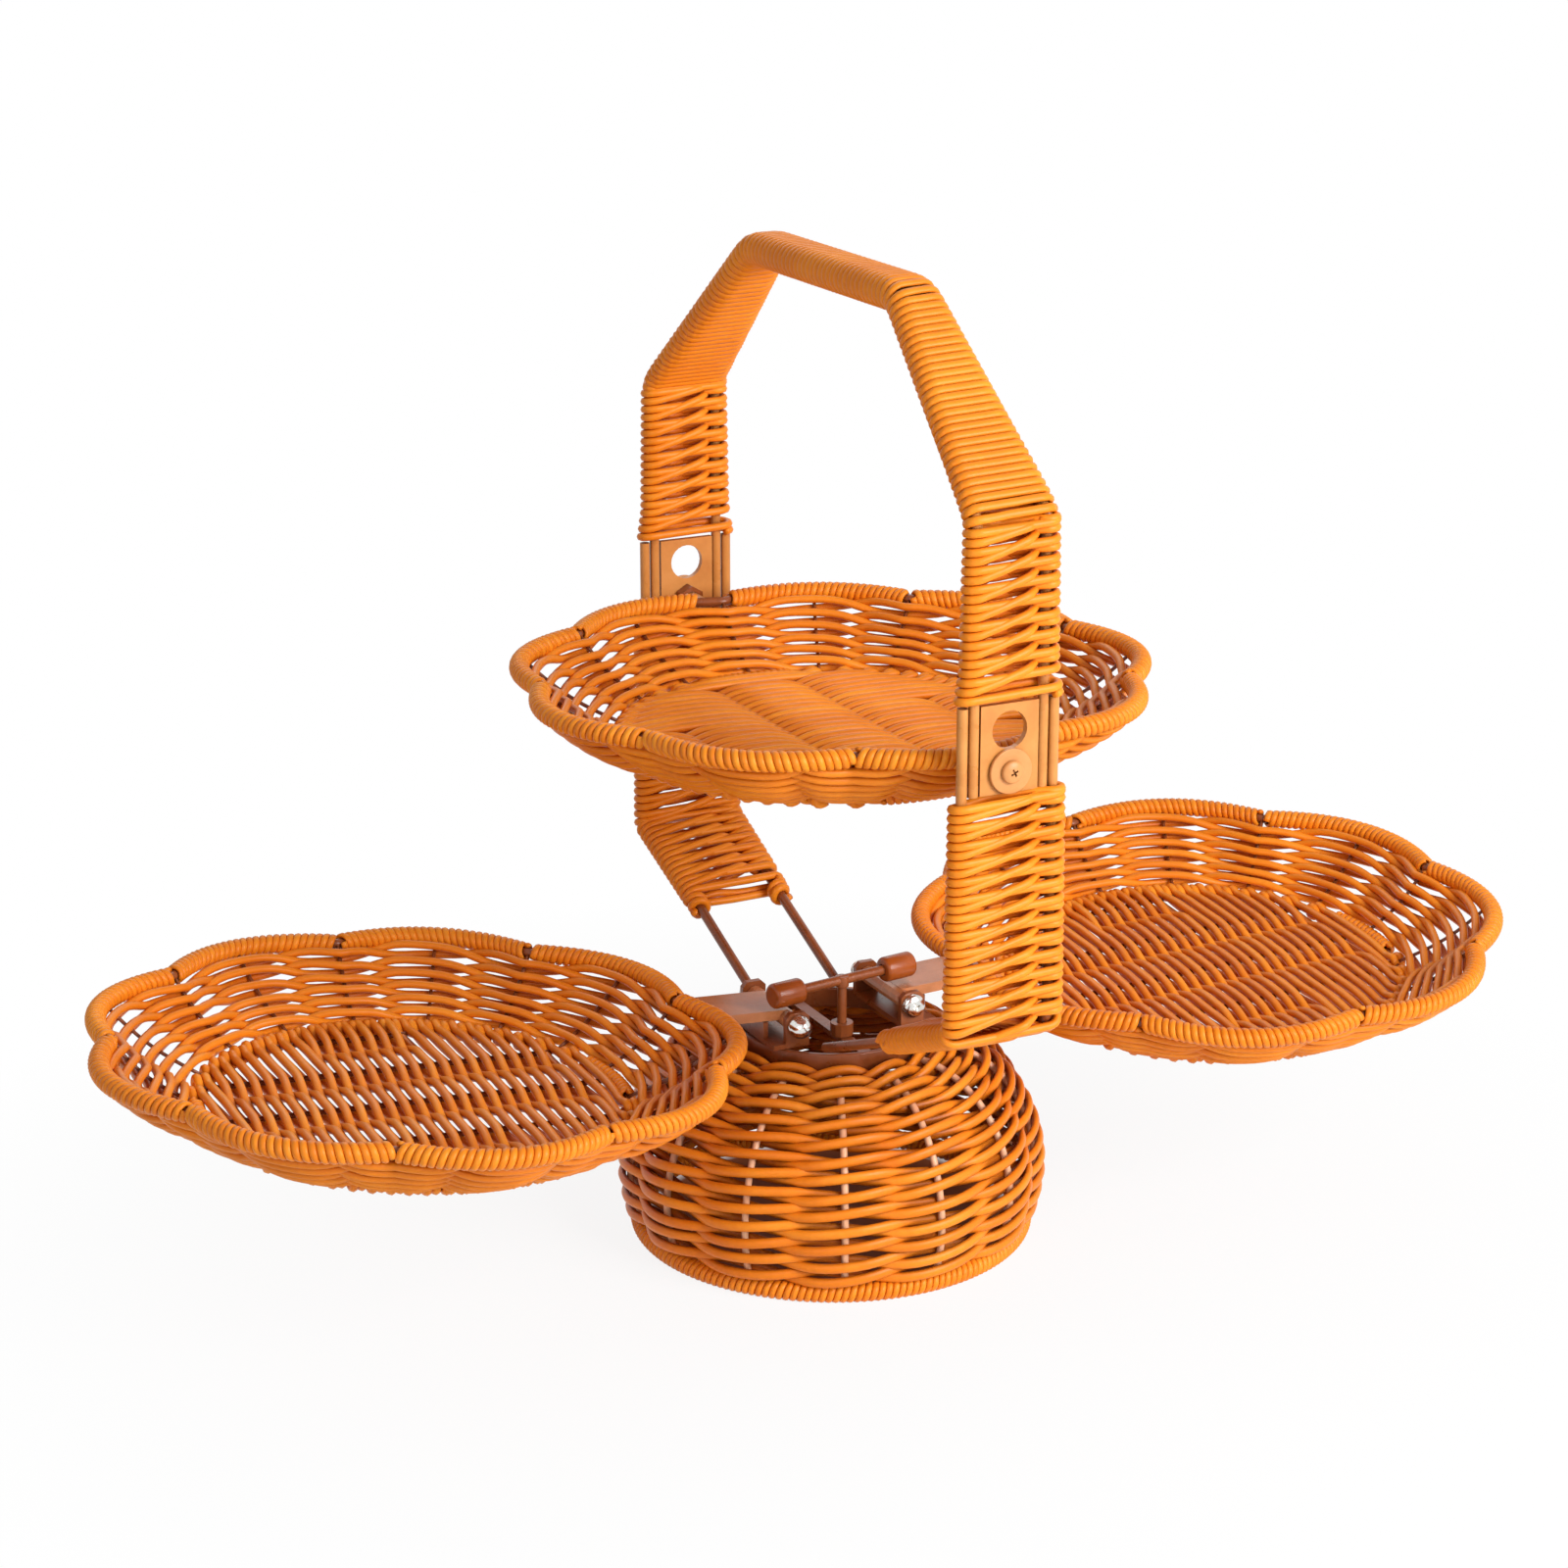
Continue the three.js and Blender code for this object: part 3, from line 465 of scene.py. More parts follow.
def crevice_shade_node(nodes, links, colour, crevice_shade, reach, span, is_local):
    """The colour, with painted crevice shade where the surface is sheltered within reach."""
    shelter = nodes.new("ShaderNodeAmbientOcclusion")
    shelter.samples, shelter.only_local = SHELTER_SAMPLES, is_local
    shelter.inputs["Distance"].default_value = reach
    openness = range_node(nodes, links, shelter.outputs["AO"], 0.0, 1.0)
    openness.inputs["From Min"].default_value, openness.inputs["From Max"].default_value = span
    mix = nodes.new("ShaderNodeMix")
    mix.data_type = "RGBA"
    links.new(openness.outputs["Result"], mix.inputs["Factor"])
    mix.inputs["A"].default_value = (*crevice_shade, 1)
    links.new(colour, mix.inputs["B"])
    return mix.outputs["Result"]


def cane_material(name, crevice_shade, shade, middle, light, reach=CREVICE_SHADE_REACH, span=CREVICE_SHADE_SPAN):
    """Extruded plastic cane with a satin skin: each strand differs, and is clouded along its length;
    sheltered places get painted crevice shade.
    """
    material, nodes, links, shader = new_material(name)
    spot = nodes.new("ShaderNodeTexCoord").outputs["Object"]
    island = nodes.new("ShaderNodeNewGeometry").outputs["Random Per Island"]
    clouds = noise_node(nodes, links, spot, scale=38, detail=3).outputs["Fac"]
    streaks = noise_node(nodes, links, spot, scale=420, detail=2).outputs["Fac"]
    tone = math_node(nodes, links, "MULTIPLY", island, CANE_TONES["strand"])
    for source, share in ((clouds, CANE_TONES["clouds"]), (streaks, CANE_TONES["streaks"])):
        tone = math_node(nodes, links, "ADD", tone, math_node(nodes, links, "MULTIPLY", source, share))
    colour = ramp_node(nodes, links, tone, [(0.2, shade), (0.5, middle), (0.8, light)])
    crevice_shaded = crevice_shade_node(nodes, links, colour.outputs["Color"], crevice_shade, reach, span, is_local=True)
    links.new(crevice_shaded, shader.inputs["Base Color"])
    gloss = range_node(nodes, links, clouds, *CANE_GLOSS)
    links.new(gloss.outputs["Result"], shader.inputs["Roughness"])
    shader.inputs["Specular IOR Level"].default_value = CANE_SPECULAR
    grain = noise_node(nodes, links, spot, scale=900, detail=3)
    bump_node(nodes, links, grain.outputs["Fac"], distance=0.0002, strength=0.25, shader=shader)
    return material


def painted_material(name, shade, middle, light, roughness, has_contact_shade=True):
    """Sprayed paint over metal, with faint orange peel and uneven gloss, and painted shade where pieces
    meet.
    """
    material, nodes, links, shader = new_material(name)
    spot = nodes.new("ShaderNodeTexCoord").outputs["Object"]
    clouds = noise_node(nodes, links, spot, scale=60, detail=4, roughness=0.6).outputs["Fac"]
    tones = [(0.3, shade), (0.5, middle), (0.75, light)]
    colour = ramp_node(nodes, links, clouds, tones).outputs["Color"]
    # Painted shade: the colour darkens where other pieces come near.
    if has_contact_shade:
        contact_shade = tuple(CONTACT_SHADE_SHARE * channel for channel in shade)
        colour = crevice_shade_node(nodes, links, colour, contact_shade, CONTACT_SHADE_REACH, CREVICE_SHADE_SPAN, is_local=False)
    links.new(colour, shader.inputs["Base Color"])
    gloss = range_node(nodes, links, clouds, *roughness)
    links.new(gloss.outputs["Result"], shader.inputs["Roughness"])
    shader.inputs["Specular IOR Level"].default_value = PAINT_SPECULAR
    peel = noise_node(nodes, links, spot, scale=700, detail=2)
    bump_node(nodes, links, peel.outputs["Fac"], distance=0.0002, strength=0.3, shader=shader)
    return material


def paint_shaded_below(name, lower, upper, low, high):
    """One paint seen two ways: the lower paint's colours below a height as painted shade, the upper
    paint's above it as painted light, fading into each other.
    """
    material = lower.copy()
    material.name = name
    nodes, links = material.node_tree.nodes, material.node_tree.links
    shader = nodes["Principled BSDF"]
    crevice_shaded = shader.inputs["Base Color"].links[0].from_node
    lower_colour = crevice_shaded.inputs["B"].links[0].from_socket
    tones = next(node for node in upper.node_tree.nodes if node.type == "VALTORGB").color_ramp.elements
    clouds = next(node for node in nodes if node.type == "VALTORGB").inputs["Fac"].links[0].from_socket
    upper_colour = ramp_node(nodes, links, clouds, [(tone.position, tone.color[:3]) for tone in tones])
    mix = nodes.new("ShaderNodeMix")
    mix.data_type = "RGBA"
    links.new(height_node(nodes, low, high), mix.inputs["Factor"])
    links.new(lower_colour, mix.inputs["A"])
    links.new(upper_colour.outputs["Color"], mix.inputs["B"])
    links.new(mix.outputs["Result"], crevice_shaded.inputs["B"])
    return material


def chrome_material():
    material, nodes, links, shader = new_material("chrome")
    spot = nodes.new("ShaderNodeTexCoord").outputs["Object"]
    marks = noise_node(nodes, links, spot, scale=300, detail=5, roughness=0.7).outputs["Fac"]
    tones = [(0.3, (0.62, 0.6, 0.56)), (0.7, (0.86, 0.85, 0.82))]
    colour = ramp_node(nodes, links, marks, tones)
    links.new(colour.outputs["Color"], shader.inputs["Base Color"])
    gloss = range_node(nodes, links, marks, *CHROME_GLOSS)
    links.new(gloss.outputs["Result"], shader.inputs["Roughness"])
    shader.inputs["Metallic"].default_value = 1.0
    bump_node(nodes, links, marks, distance=0.0001, strength=0.15, shader=shader)
    return material


# The crevice colours are painted shade: deep between strands, deepest inside the base's dome.
cane = cane_material(
    "cane", crevice_shade=(0.52, 0.075, 0.002),
    shade=(0.7, 0.17, 0.006), middle=(0.84, 0.24, 0.01), light=(0.95, 0.34, 0.022))
base_cane = cane_material(
    "base_cane", crevice_shade=(0.17, 0.015, 0.0),
    shade=(0.7, 0.16, 0.006), middle=(0.84, 0.23, 0.01), light=(0.95, 0.33, 0.022),
    reach=0.2, span=(0.22, 0.6))
# The base's wires: a lighter, pinker copy of the painted steel, as painted light and sheen on them.
lit_wire_paint = painted_material(
    "lit_wire_paint", shade=(0.8, 0.38, 0.2), middle=(0.88, 0.46, 0.26), light=(0.95, 0.55, 0.33),
    roughness=(0.26, 0.38), has_contact_shade=False)
# The arms: a lighter copy of the painted steel, as painted light on them.
arm_paint = painted_material(
    "arm_paint", shade=(0.44, 0.16, 0.055), middle=(0.54, 0.2, 0.075), light=(0.64, 0.25, 0.1),
    roughness=(0.2, 0.32))
steel = painted_material(
    "painted_steel", shade=(0.19, 0.045, 0.01), middle=(0.26, 0.066, 0.016), light=(0.34, 0.095, 0.026),
    roughness=(0.22, 0.34))
plate_paint = painted_material(
    "plate_paint", shade=(0.52, 0.19, 0.042), middle=(0.6, 0.24, 0.055), light=(0.68, 0.29, 0.075),
    roughness=(0.3, 0.42))
washer_paint = painted_material(
    "washer_paint", shade=(0.54, 0.22, 0.06), middle=(0.6, 0.25, 0.075), light=(0.67, 0.3, 0.1),
    roughness=(0.3, 0.42))
cap_plastic = painted_material(
    "cap_plastic", shade=(0.24, 0.05, 0.006), middle=(0.32, 0.068, 0.009), light=(0.4, 0.09, 0.014),
    roughness=(0.2, 0.3))
# The rods are one paint: darker below and lighter above is painted shade and light.
rod_paint = paint_shaded_below("rod_paint", steel, plate_paint, low=0.15, high=0.21)
chrome = chrome_material()
MATERIALS = {
    "cane": cane,
    "painted_steel": steel,
    "plate_paint": plate_paint,
    "cap_plastic": cap_plastic,
    "chrome": chrome,
}

for row in frame["record"]["subparts"]:
    node = frame["nodes"][row["node"]]
    # The arms take the lighter copy of the steel paint: painted light.
    finish = arm_paint if row["node"].endswith("_arm") else MATERIALS[row["material_slot"]]
    node.data.materials.clear()
    node.data.materials.append(finish)
    for slot in node.material_slots:
        slot.material = finish


# Trays

def tray_matrix(name, tray):
    """From the tray's own frame, its rim at z = 0, to the stand's."""
    if name == "top_tray":
        return Matrix.Translation((0, 0, tray["height"]))
    hand = name.split("_")[0]
    turn = Matrix.Rotation(math.pi if hand == "left" else 0.0, 4, "Z")
    return (
        Matrix.Translation((HANDS[hand] * PIVOT_OFFSET, 0, PIVOT_HEIGHT))
        @ turn
        @ Matrix.Rotation(-math.radians(tray["raise"]), 4, "Y")
        @ Matrix.Translation((ARM_REACH, 0, TRAY_RISE))
        @ Matrix.Rotation(math.radians(tray["twist"]), 4, "X")
    )


def rim_reach(tray, angle):
    crest = np.abs(np.sin(tray["lobes"] * (angle - math.radians(tray["turn"])) / 2))
    return tray["radius"] - SCALLOP_DEPTH * (1 - crest)


def ring_at(radius, angle, height=0.0):
    flat = radius * np.cos(angle), radius * np.sin(angle)
    return np.stack([*flat, height + np.zeros_like(angle)], axis=-1)


def coil(path, outward, width, depth, radius, pitch, hand, starts=2):
    """Strands wound side by side round a path. The path is finely sampled and outward is across it."""
    run = distances(path)
    length = run[-1]
    lead = starts * pitch
    inset = pitch / 2
    at = np.linspace(inset, length - inset, max(4, int(length / lead * SAMPLES_PER_TURN)))
    centre = values_at(at, run, path)
    side = unit(values_at(at, run, outward))
    along = unit(np.gradient(centre, axis=0))
    other = np.cross(along, side)
    parts = []
    for start in range(starts):
        angle = hand * 2 * np.pi * (at / lead + start / starts)
        route = centre + radius * (np.cos(angle)[:, None] * side + np.sin(angle)[:, None] * other)
        parts.append(tube(route, along, width, depth))
    return parts


def tray_rim(tray, bare):
    """The wrapped rim: one winding for each lobe, its lean changing from lobe to lobe."""
    turn, lobe = math.radians(tray["turn"]), 2 * math.pi / tray["lobes"]
    fine = turn + np.linspace(0, 2 * np.pi, tray["lobes"] * SAMPLES_PER_LOBE + 1)[:-1]
    line = ring_at(rim_reach(tray, fine), fine)
    core = tube(line, UP, RIM_CORE, closed=True)
    wraps = []
    for i in range(tray["lobes"]):
        angle = turn + lobe * (i + np.linspace(0, 1, SAMPLES_PER_WRAP))
        path = ring_at(rim_reach(tray, angle), angle)
        path = path[[not any(low < math.degrees(a) % 360 < high for low, high in bare) for a in angle]]
        outward = np.cross(unit(np.gradient(path, axis=0)), UP)
        lean = 1 if i % 2 else -1
        wraps += coil(path, outward, WRAP_WIDTH, WRAP_DEPTH, RIM_CORE + WRAP_DEPTH, RIM_PITCH, lean)
    return [core], wraps


def wall_point(tray, angle, share, through):
    """A point of the flared wall: share runs down from rim to border, through is outward."""
    top = np.stack([rim_reach(tray, angle), np.zeros_like(angle)], axis=-1)
    down = np.array([BORDER_RADIUS, -TRAY_DEPTH]) - top
    length = np.linalg.norm(down, axis=-1)
    down = down / length[:, None]
    outward = np.stack([-down[:, 1], down[:, 0]], axis=-1)
    start, end = RIM_TUBE - WALL_TUCK, length - RIM_TUBE
    middle = top + down * (start + (end - start) * share)[:, None]
    middle = middle + outward * (WALL_BULGE * np.sin(np.pi * share) + through)[:, None]
    return ring_at(middle[:, 0], angle, middle[:, 1])


def tray_wall(tray):
    """Rows of twined strands round the flared wall, and the wires that they pass."""
    stakes = 2 * tray["lobes"]
    turn = math.radians(tray["turn"])
    turns = np.linspace(0, stakes, stakes * SAMPLES_PER_STAKE + 1)[:-1]
    angle = turn + turns / stakes * 2 * np.pi
    rows, wires = [], []
    for row in range(WALL_ROWS):
        drift = wobble(ROW_DRIFT)(angle) / WALL_ROWS
        phase = twist(turns + wobble(STAKE_DRIFT)(angle))
        for strand in (1, -1):
            share = (row + 0.5 + strand * WALL_SWAY * np.sin(phase)) / WALL_ROWS + drift
            through = strand * (STAKE_WIRE + TRAY_STRAND) * np.cos(phase)
            rows.append(tube(wall_point(tray, angle, share, through), UP, TRAY_STRAND, closed=True))
    for stake in range(stakes):
        share = np.linspace(-STAKE_OVERRUN, 1 + STAKE_OVERRUN, 9)
        at = np.full_like(share, turn + stake / stakes * 2 * np.pi)
        route = wall_point(tray, at, share, np.zeros_like(share))
        tangent = np.array([-math.sin(at[0]), math.cos(at[0]), 0])
        wires.append(tube(route, tangent, WALL_STAKE, sides=6))
    return rows, wires


def floor_pair(position, stakes_at):
    """Two strands twined along the floor over its cross wires, each looped round the border."""
    reach = math.sqrt(BORDER_RADIUS**2 - position**2)
    crossed = [at for at in stakes_at if abs(at) < reach - FLOOR_STAKE_MARGIN]
    first = round(crossed[0] / FLOOR_STAKE_SPACING)
    knots = [-reach, *crossed, reach]
    counts = [first - 0.5, *[first + i for i in range(len(crossed))], first + len(crossed) - 0.5]
    along = np.linspace(-reach + LOOP_START, reach - LOOP_START, int(reach))
    phase = twist(np.interp(along, knots, counts))
    drift = wobble(FLOOR_DRIFT)(along / BORDER_RADIUS * np.pi)
    parts = []
    for strand in (1, -1):
        lateral = position + strand * FLOOR_SWAY * FLOOR_PITCH * np.sin(phase) + drift
        height = -TRAY_DEPTH + strand * (STAKE_WIRE + FLOOR_STRAND) * np.cos(phase)
        middle = np.stack([lateral, along, height], axis=-1)
        ends = []
        for side in (-1, 1):
            sweep = np.radians(np.linspace(*LOOP_SWEEP, 12))
            loop = np.stack([
                np.full_like(sweep, lateral[0 if side < 0 else -1]),
                side * (reach + LOOP_RADIUS * np.cos(sweep)),
                -TRAY_DEPTH + LOOP_RADIUS * np.sin(sweep),
            ], axis=-1)
            ends.append(loop)
        route = np.concatenate([ends[0][::-1], middle, ends[1]])
        route = soften(resample(route, STRAND_STEP), passes=3)
        parts.append(tube(route, SIDEWAYS, FLOOR_STRAND))
    return parts


def tray_floor():
    """Floor strands along Y, cross wires along X, and the border's own wrapping at its two ends."""
    stakes_at = [i * FLOOR_STAKE_SPACING for i in range(-2, 3)]
    strands, wires, wraps = [], [], []
    for i in range(FLOOR_ROWS):
        strands += floor_pair((i - (FLOOR_ROWS - 1) / 2) * FLOOR_PITCH, stakes_at)
    for at in stakes_at:
        reach = math.sqrt(BORDER_RADIUS**2 - at**2) - STAKE_WIRE
        ends = np.array([[-reach, at, -TRAY_DEPTH], [reach, at, -TRAY_DEPTH]])
        wires.append(tube(resample(ends, 10), UP, STAKE_WIRE, sides=6))
    full = np.linspace(0, 2 * np.pi, 121)[:-1]
    core = tube(ring_at(BORDER_RADIUS, full, -TRAY_DEPTH), UP, LOOP_RADIUS - TRAY_STRAND, closed=True)
    half = math.acos(FLOOR_ROWS / 2 * FLOOR_PITCH / BORDER_RADIUS)
    for end in (0.0, math.pi):
        arc = np.linspace(end - half, end + half, SAMPLES_PER_WRAP)
        path = ring_at(BORDER_RADIUS, arc, -TRAY_DEPTH)
        wraps += coil(path, ring_at(1.0, arc), WRAP_WIDTH, WRAP_DEPTH, LOOP_RADIUS, RIM_PITCH, 1)
    return strands, [*wires, core], wraps


for name, tray in TRAYS.items():
    at = tray_matrix(name, tray)
    core, rim = tray_rim(tray, BARE_RIM[name])
    rows, wires = tray_wall(tray)
    strands, floor_wires, wraps = tray_floor()
    floor_turn = Matrix.Rotation(math.pi / 2, 4, "Z") if name == "top_tray" else Matrix.Identity(4)
    build(f"{name}_rim_wrap", place(rim, at), name, cane, [f"{name}_rim"])
    build(f"{name}_rim_core", place(core, at), name, steel)
    build(f"{name}_wall_weave", place(rows, at), name, cane, [f"{name}_wall"])
    build(f"{name}_wall_wires", place(wires, at), name, steel)
    build(f"{name}_floor_weave", place(strands, at @ floor_turn), name, cane, [f"{name}_floor"])
    build(f"{name}_floor_wires", place(floor_wires, at @ floor_turn), name, steel)
    build(f"{name}_border_wrap", place(wraps, at @ floor_turn), name, cane, [f"{name}_border"])


# Base

def dome_outline():
    """The middle of the woven wall, from the foot ring up to the mouth."""
    drop = np.linspace(1, 0, 12)[:-1]
    low_radius = FOOT_RADIUS + FOOT_TUBE
    swell = np.stack([
        low_radius + (BELLY_RADIUS - low_radius) * np.cos(drop * np.pi / 2) - DOME_INSET,
        BELLY_HEIGHT - drop * (BELLY_HEIGHT - DOME_LOW),
    ], axis=-1)
    angle = np.linspace(0, np.pi / 2, 60)
    crown = np.stack([
        DOME_MOUTH + (BELLY_RADIUS - DOME_MOUTH - DOME_INSET) * np.cos(angle),
        BELLY_HEIGHT + (DOME_HEIGHT - BELLY_HEIGHT - DOME_INSET) * np.sin(angle),
    ], axis=-1)
    return np.concatenate([swell, crown])


outline = dome_outline()
outline_run = distances(outline)
outline_slope = unit(np.gradient(outline, axis=0))


def dome_point(angle, share, through):
    """A point of the dome's wall: share runs up from foot to mouth, through is outward."""
    at = np.clip(share, 0, 1) * outline_run[-1]
    radius, height = values_at(at, outline_run, outline).T
    slope_out, slope_up = values_at(at, outline_run, outline_slope).T
    return ring_at(radius + through * slope_up, angle, height - through * slope_out)


def base_weave():
    """Single strands that pass the stakes by turns, and the stakes."""
    start = math.radians(BASE_STAKE_START)
    turns = np.linspace(0, 2 * BASE_STAKES, 2 * BASE_STAKES * SAMPLES_PER_STAKE + 1)[:-1]
    angle = start + turns / BASE_STAKES * 2 * np.pi
    rows, wires = [], []
    for row in range(BASE_ROWS):
        drift = wobble(BASE_ROW_DRIFT)(angle) / BASE_ROWS
        phase = twist(turns + wobble(BASE_STAKE_DRIFT)(angle), BASE_TWIST_HASTE)
        share = (row + 0.5 + BASE_SWAY * np.sin(phase)) / BASE_ROWS + drift
        route = dome_point(angle, share, (BASE_WIRE + BASE_STRAND_DEPTH) * np.cos(phase))
        rows.append(tube(route, UP, BASE_STRAND, BASE_STRAND_DEPTH, closed=True))
    for stake in range(BASE_STAKES):
        share = np.linspace(-BASE_STAKE_TUCK, 1.0, 30)
        at = np.full_like(share, start + stake / BASE_STAKES * 2 * np.pi)
        route = dome_point(at, share, np.zeros_like(share))
        tangent = np.array([-math.sin(at[0]), math.cos(at[0]), 0])
        wires.append(tube(route, tangent, BASE_WIRE))
    return rows, wires


rows, wires = base_weave()
build("base_dome_weave", rows, "stand", base_cane, ["base_dome"])
build("base_dome_wires", wires, "stand", lit_wire_paint)

ring = np.linspace(0, 2 * np.pi, 361)
foot_line = ring_at(FOOT_RADIUS, ring, FOOT_CENTRE)
foot_core = tube(foot_line[:-1], UP, FOOT_TUBE - 2 * WRAP_DEPTH, closed=True)
foot_wrap = coil(
    foot_line, ring_at(1.0, ring), FOOT_WRAP_WIDTH, WRAP_DEPTH, FOOT_TUBE - WRAP_DEPTH, FOOT_PITCH, -1)
build("base_foot_wrap", [*foot_wrap, foot_core], "stand", cane, ["base_foot"])


# Handle

def handle_path(corners, passes=BEND_PASSES):
    """Corners in the YZ plane joined with rounded bends."""
    points = np.array([[0.0, y, z] for y, z in corners])
    return soften(resample(points, 1.0), passes)


def racetrack(turns, width, depth):
    """A point of a racetrack outline, along its width and its depth, after so many turns round it."""
    end = depth / 2
    flat = width / 2 - end
    straight, arc = 2 * flat, np.pi * end
    at = (turns % 1.0) * (2 * straight + 2 * arc)
    right = (at - straight) / end
    left = (at - 2 * straight - arc) / end
    stretches = [at < straight, at < straight + arc, at < 2 * straight + arc]
    across = np.select(
        stretches, [at - flat, flat + end * np.sin(right), flat - (at - straight - arc)],
        -flat - end * np.sin(left))
    through = np.select(stretches, [end, end * np.cos(right), -end], -end * np.cos(left))
    return across, through


def grip_wrap():
    """One strand wound round the grip, which is wide and flat at its ends and narrow at the crown."""
    corners = [
        (-HANDLE_SPREAD, SHOULDER_HEIGHT - GRIP_TAIL),
        (-HANDLE_SPREAD, SHOULDER_HEIGHT),
        (-CROWN_SPREAD, CROWN_HEIGHT),
        (CROWN_SPREAD, CROWN_HEIGHT),
        (HANDLE_SPREAD, SHOULDER_HEIGHT),
        (HANDLE_SPREAD, SHOULDER_HEIGHT - GRIP_TAIL),
    ]
    path = handle_path(corners, GRIP_BEND_PASSES)
    run = distances(path)
    slant = GRIP_TAIL + math.dist(corners[1], corners[2])
    knots = [0, slant, run[-1] - slant, run[-1]]
    turns = run[-1] / GRIP_PITCH
    at = np.linspace(GRIP_INSET, run[-1] - GRIP_INSET, int(turns * SAMPLES_PER_GRIP_TURN))
    centre = values_at(at, run, path)
    along = unit(np.gradient(centre, axis=0))
    outward = np.cross(along, -SIDEWAYS)
    sections = np.array([GRIP_END, GRIP_TOP, GRIP_TOP, GRIP_END])
    width, depth = values_at(at, knots, sections).T - 2 * WRAP_DEPTH
    across, through = racetrack(at / GRIP_PITCH, width, depth)
    route = centre + across[:, None] * SIDEWAYS + through[:, None] * outward
    return [tube(route, along, GRIP_PITCH / 2 + GRIP_OVERLAP, WRAP_DEPTH + GRIP_SWELL)]


build("handle_grip_wrap", grip_wrap(), "stand", cane, ["handle_grip"])


def lacing(path, rods, tail_turns=0):
    """One strand laced round two rods, and for a tail one strand wound round each rod.

    rods gives the rods' half distance at shares of the path. Each round goes across the front, back
    behind, then from the left over the front strand and behind the right rod, round it, and behind to
    the left again. Plain rounds close the lacing.
    """
    run = distances(path)
    along_path = unit(np.gradient(path, axis=0))
    reach = HANDLE_ROD + LACE_STRAND
    rounds = int(run[-1] / LACE_PITCH - LACE_START) - tail_turns
    pitch = (run[-1] - LACE_STRAND) / (rounds + tail_turns + LACE_START)
    pattern = []

    def arc(side, first, last, low, high):
        """Round one rod, its turn counted from the front, from one height to another."""
        for share in np.linspace(0, 1, 7):
            turn = math.radians(first + (last - first) * share)
            sideways, depth = side * reach * math.sin(turn), reach * math.cos(turn)
            pattern.append((side, sideways, depth, low + (high - low) * share))

    def across(knots, low, high, ease=1.0):
        """From rod to rod through knots of (share from the right rod to the left, depth)."""
        for share, depth in knots:
            pattern.append((1 - 2 * share, 0.0, depth, low + (high - low) * share ** ease))

    def back_round(level):
        """Round the right rod, behind both and round the left one, up by one pitch."""
        arc(1, 0, 180, level, level + 0.3 * pitch)
        across([(0.5, -reach)], level + 0.3 * pitch, level + 0.6 * pitch)
        arc(-1, 180, 0, level + 0.6 * pitch, level + pitch)

    over = [
        (0.85, reach + 0.3), (0.75, reach + 0.9), (0.64, reach + 0.9), (0.54, reach),
        (0.43, reach - 1.2), (0.31, reach - 2.2), (0.19, -0.8),
    ]
    behind = [(0.1, reach - 1.4), (0.18, -1.0), (0.32, -reach - 0.6), (0.7, -reach - 0.6)]
    front = [
        (0.85, reach - 0.3), (0.75, reach - 1.2), (0.64, reach - 1.4), (0.54, reach - 0.6),
        (0.43, reach + 0.2), (0.25, reach + 0.4),
    ]
    periods = (rounds - 1) // 2
    for period in range(periods):
        level = (2 * period + LACE_START) * pitch
        rise = max(level - pitch, LACE_LOWEST * pitch)
        back_round(level)
        across(over, rise, level + pitch, ease=LACE_EASE)
        arc(1, 180, 0, rise, rise)
        across(behind, rise, level + 1.6 * pitch)
        arc(-1, 180, 0, level + 1.6 * pitch, level + 2 * pitch)
        across(front, level + 2 * pitch, level + 2 * pitch)
    end = level + 2 * pitch
    for _ in range(rounds - 2 * periods):
        back_round(end)
        end += pitch
        across([(0.8, reach), (0.5, reach + 0.3), (0.2, reach)], end, end)
    arc(1, 0, 180, end, end)

    def strand():
        knots = np.array(pattern)
        at = np.clip(knots[:, 3], LACE_LOWEST, run[-1] - LACE_LOWEST)
        half = np.interp(at, [share * run[-1] for share, _ in rods], [distance for _, distance in rods])
        centre = values_at(at, run, path)
        along = unit(values_at(at, run, along_path))
        front_way = np.cross(along, -SIDEWAYS)
        sideways = (knots[:, 0] * half + knots[:, 1])[:, None]
        route = centre + sideways * SIDEWAYS + knots[:, 2:3] * front_way
        route = soften(resample(route, LACE_STEP), passes=2)
        spread, steps = np.linspace(0, 1, len(route)), np.linspace(0, 1, len(along))
        return tube(route, values_at(spread, steps, along), LACE_STRAND)

    strands = [strand()]
    for side in (1, -1) if tail_turns else ():
        pattern.clear()
        for turn in range(tail_turns):
            arc(side, 90, 450, end + (turn + 0.3) * pitch, end + (turn + 1.3) * pitch)
        strands.append(strand())
    return strands


def bend(corners, radius, count=8):
    """Corners joined by arcs."""
    corners = [np.array(corner, dtype=float) for corner in corners]
    route = [corners[0]]
    for before, corner, after in zip(corners, corners[1:], corners[2:]):
        back, ahead = unit(before - corner), unit(after - corner)
        half = math.acos(np.clip(back @ ahead, -1, 1)) / 2
        centre = corner + unit(back + ahead) * radius / math.sin(half)
        start = corner + back * radius / math.tan(half) - centre
        end = corner + ahead * radius / math.tan(half) - centre
        sweep = math.pi - 2 * half
        for share in np.linspace(0, 1, count):
            route.append(centre + (
                start * math.sin((1 - share) * sweep) + end * math.sin(share * sweep)) / math.sin(sweep))
    return np.array([*route, corners[-1]])


def rod(corners):
    return [tube(bend(corners, ROD_BEND), SIDEWAYS, HANDLE_ROD, sides=16)]


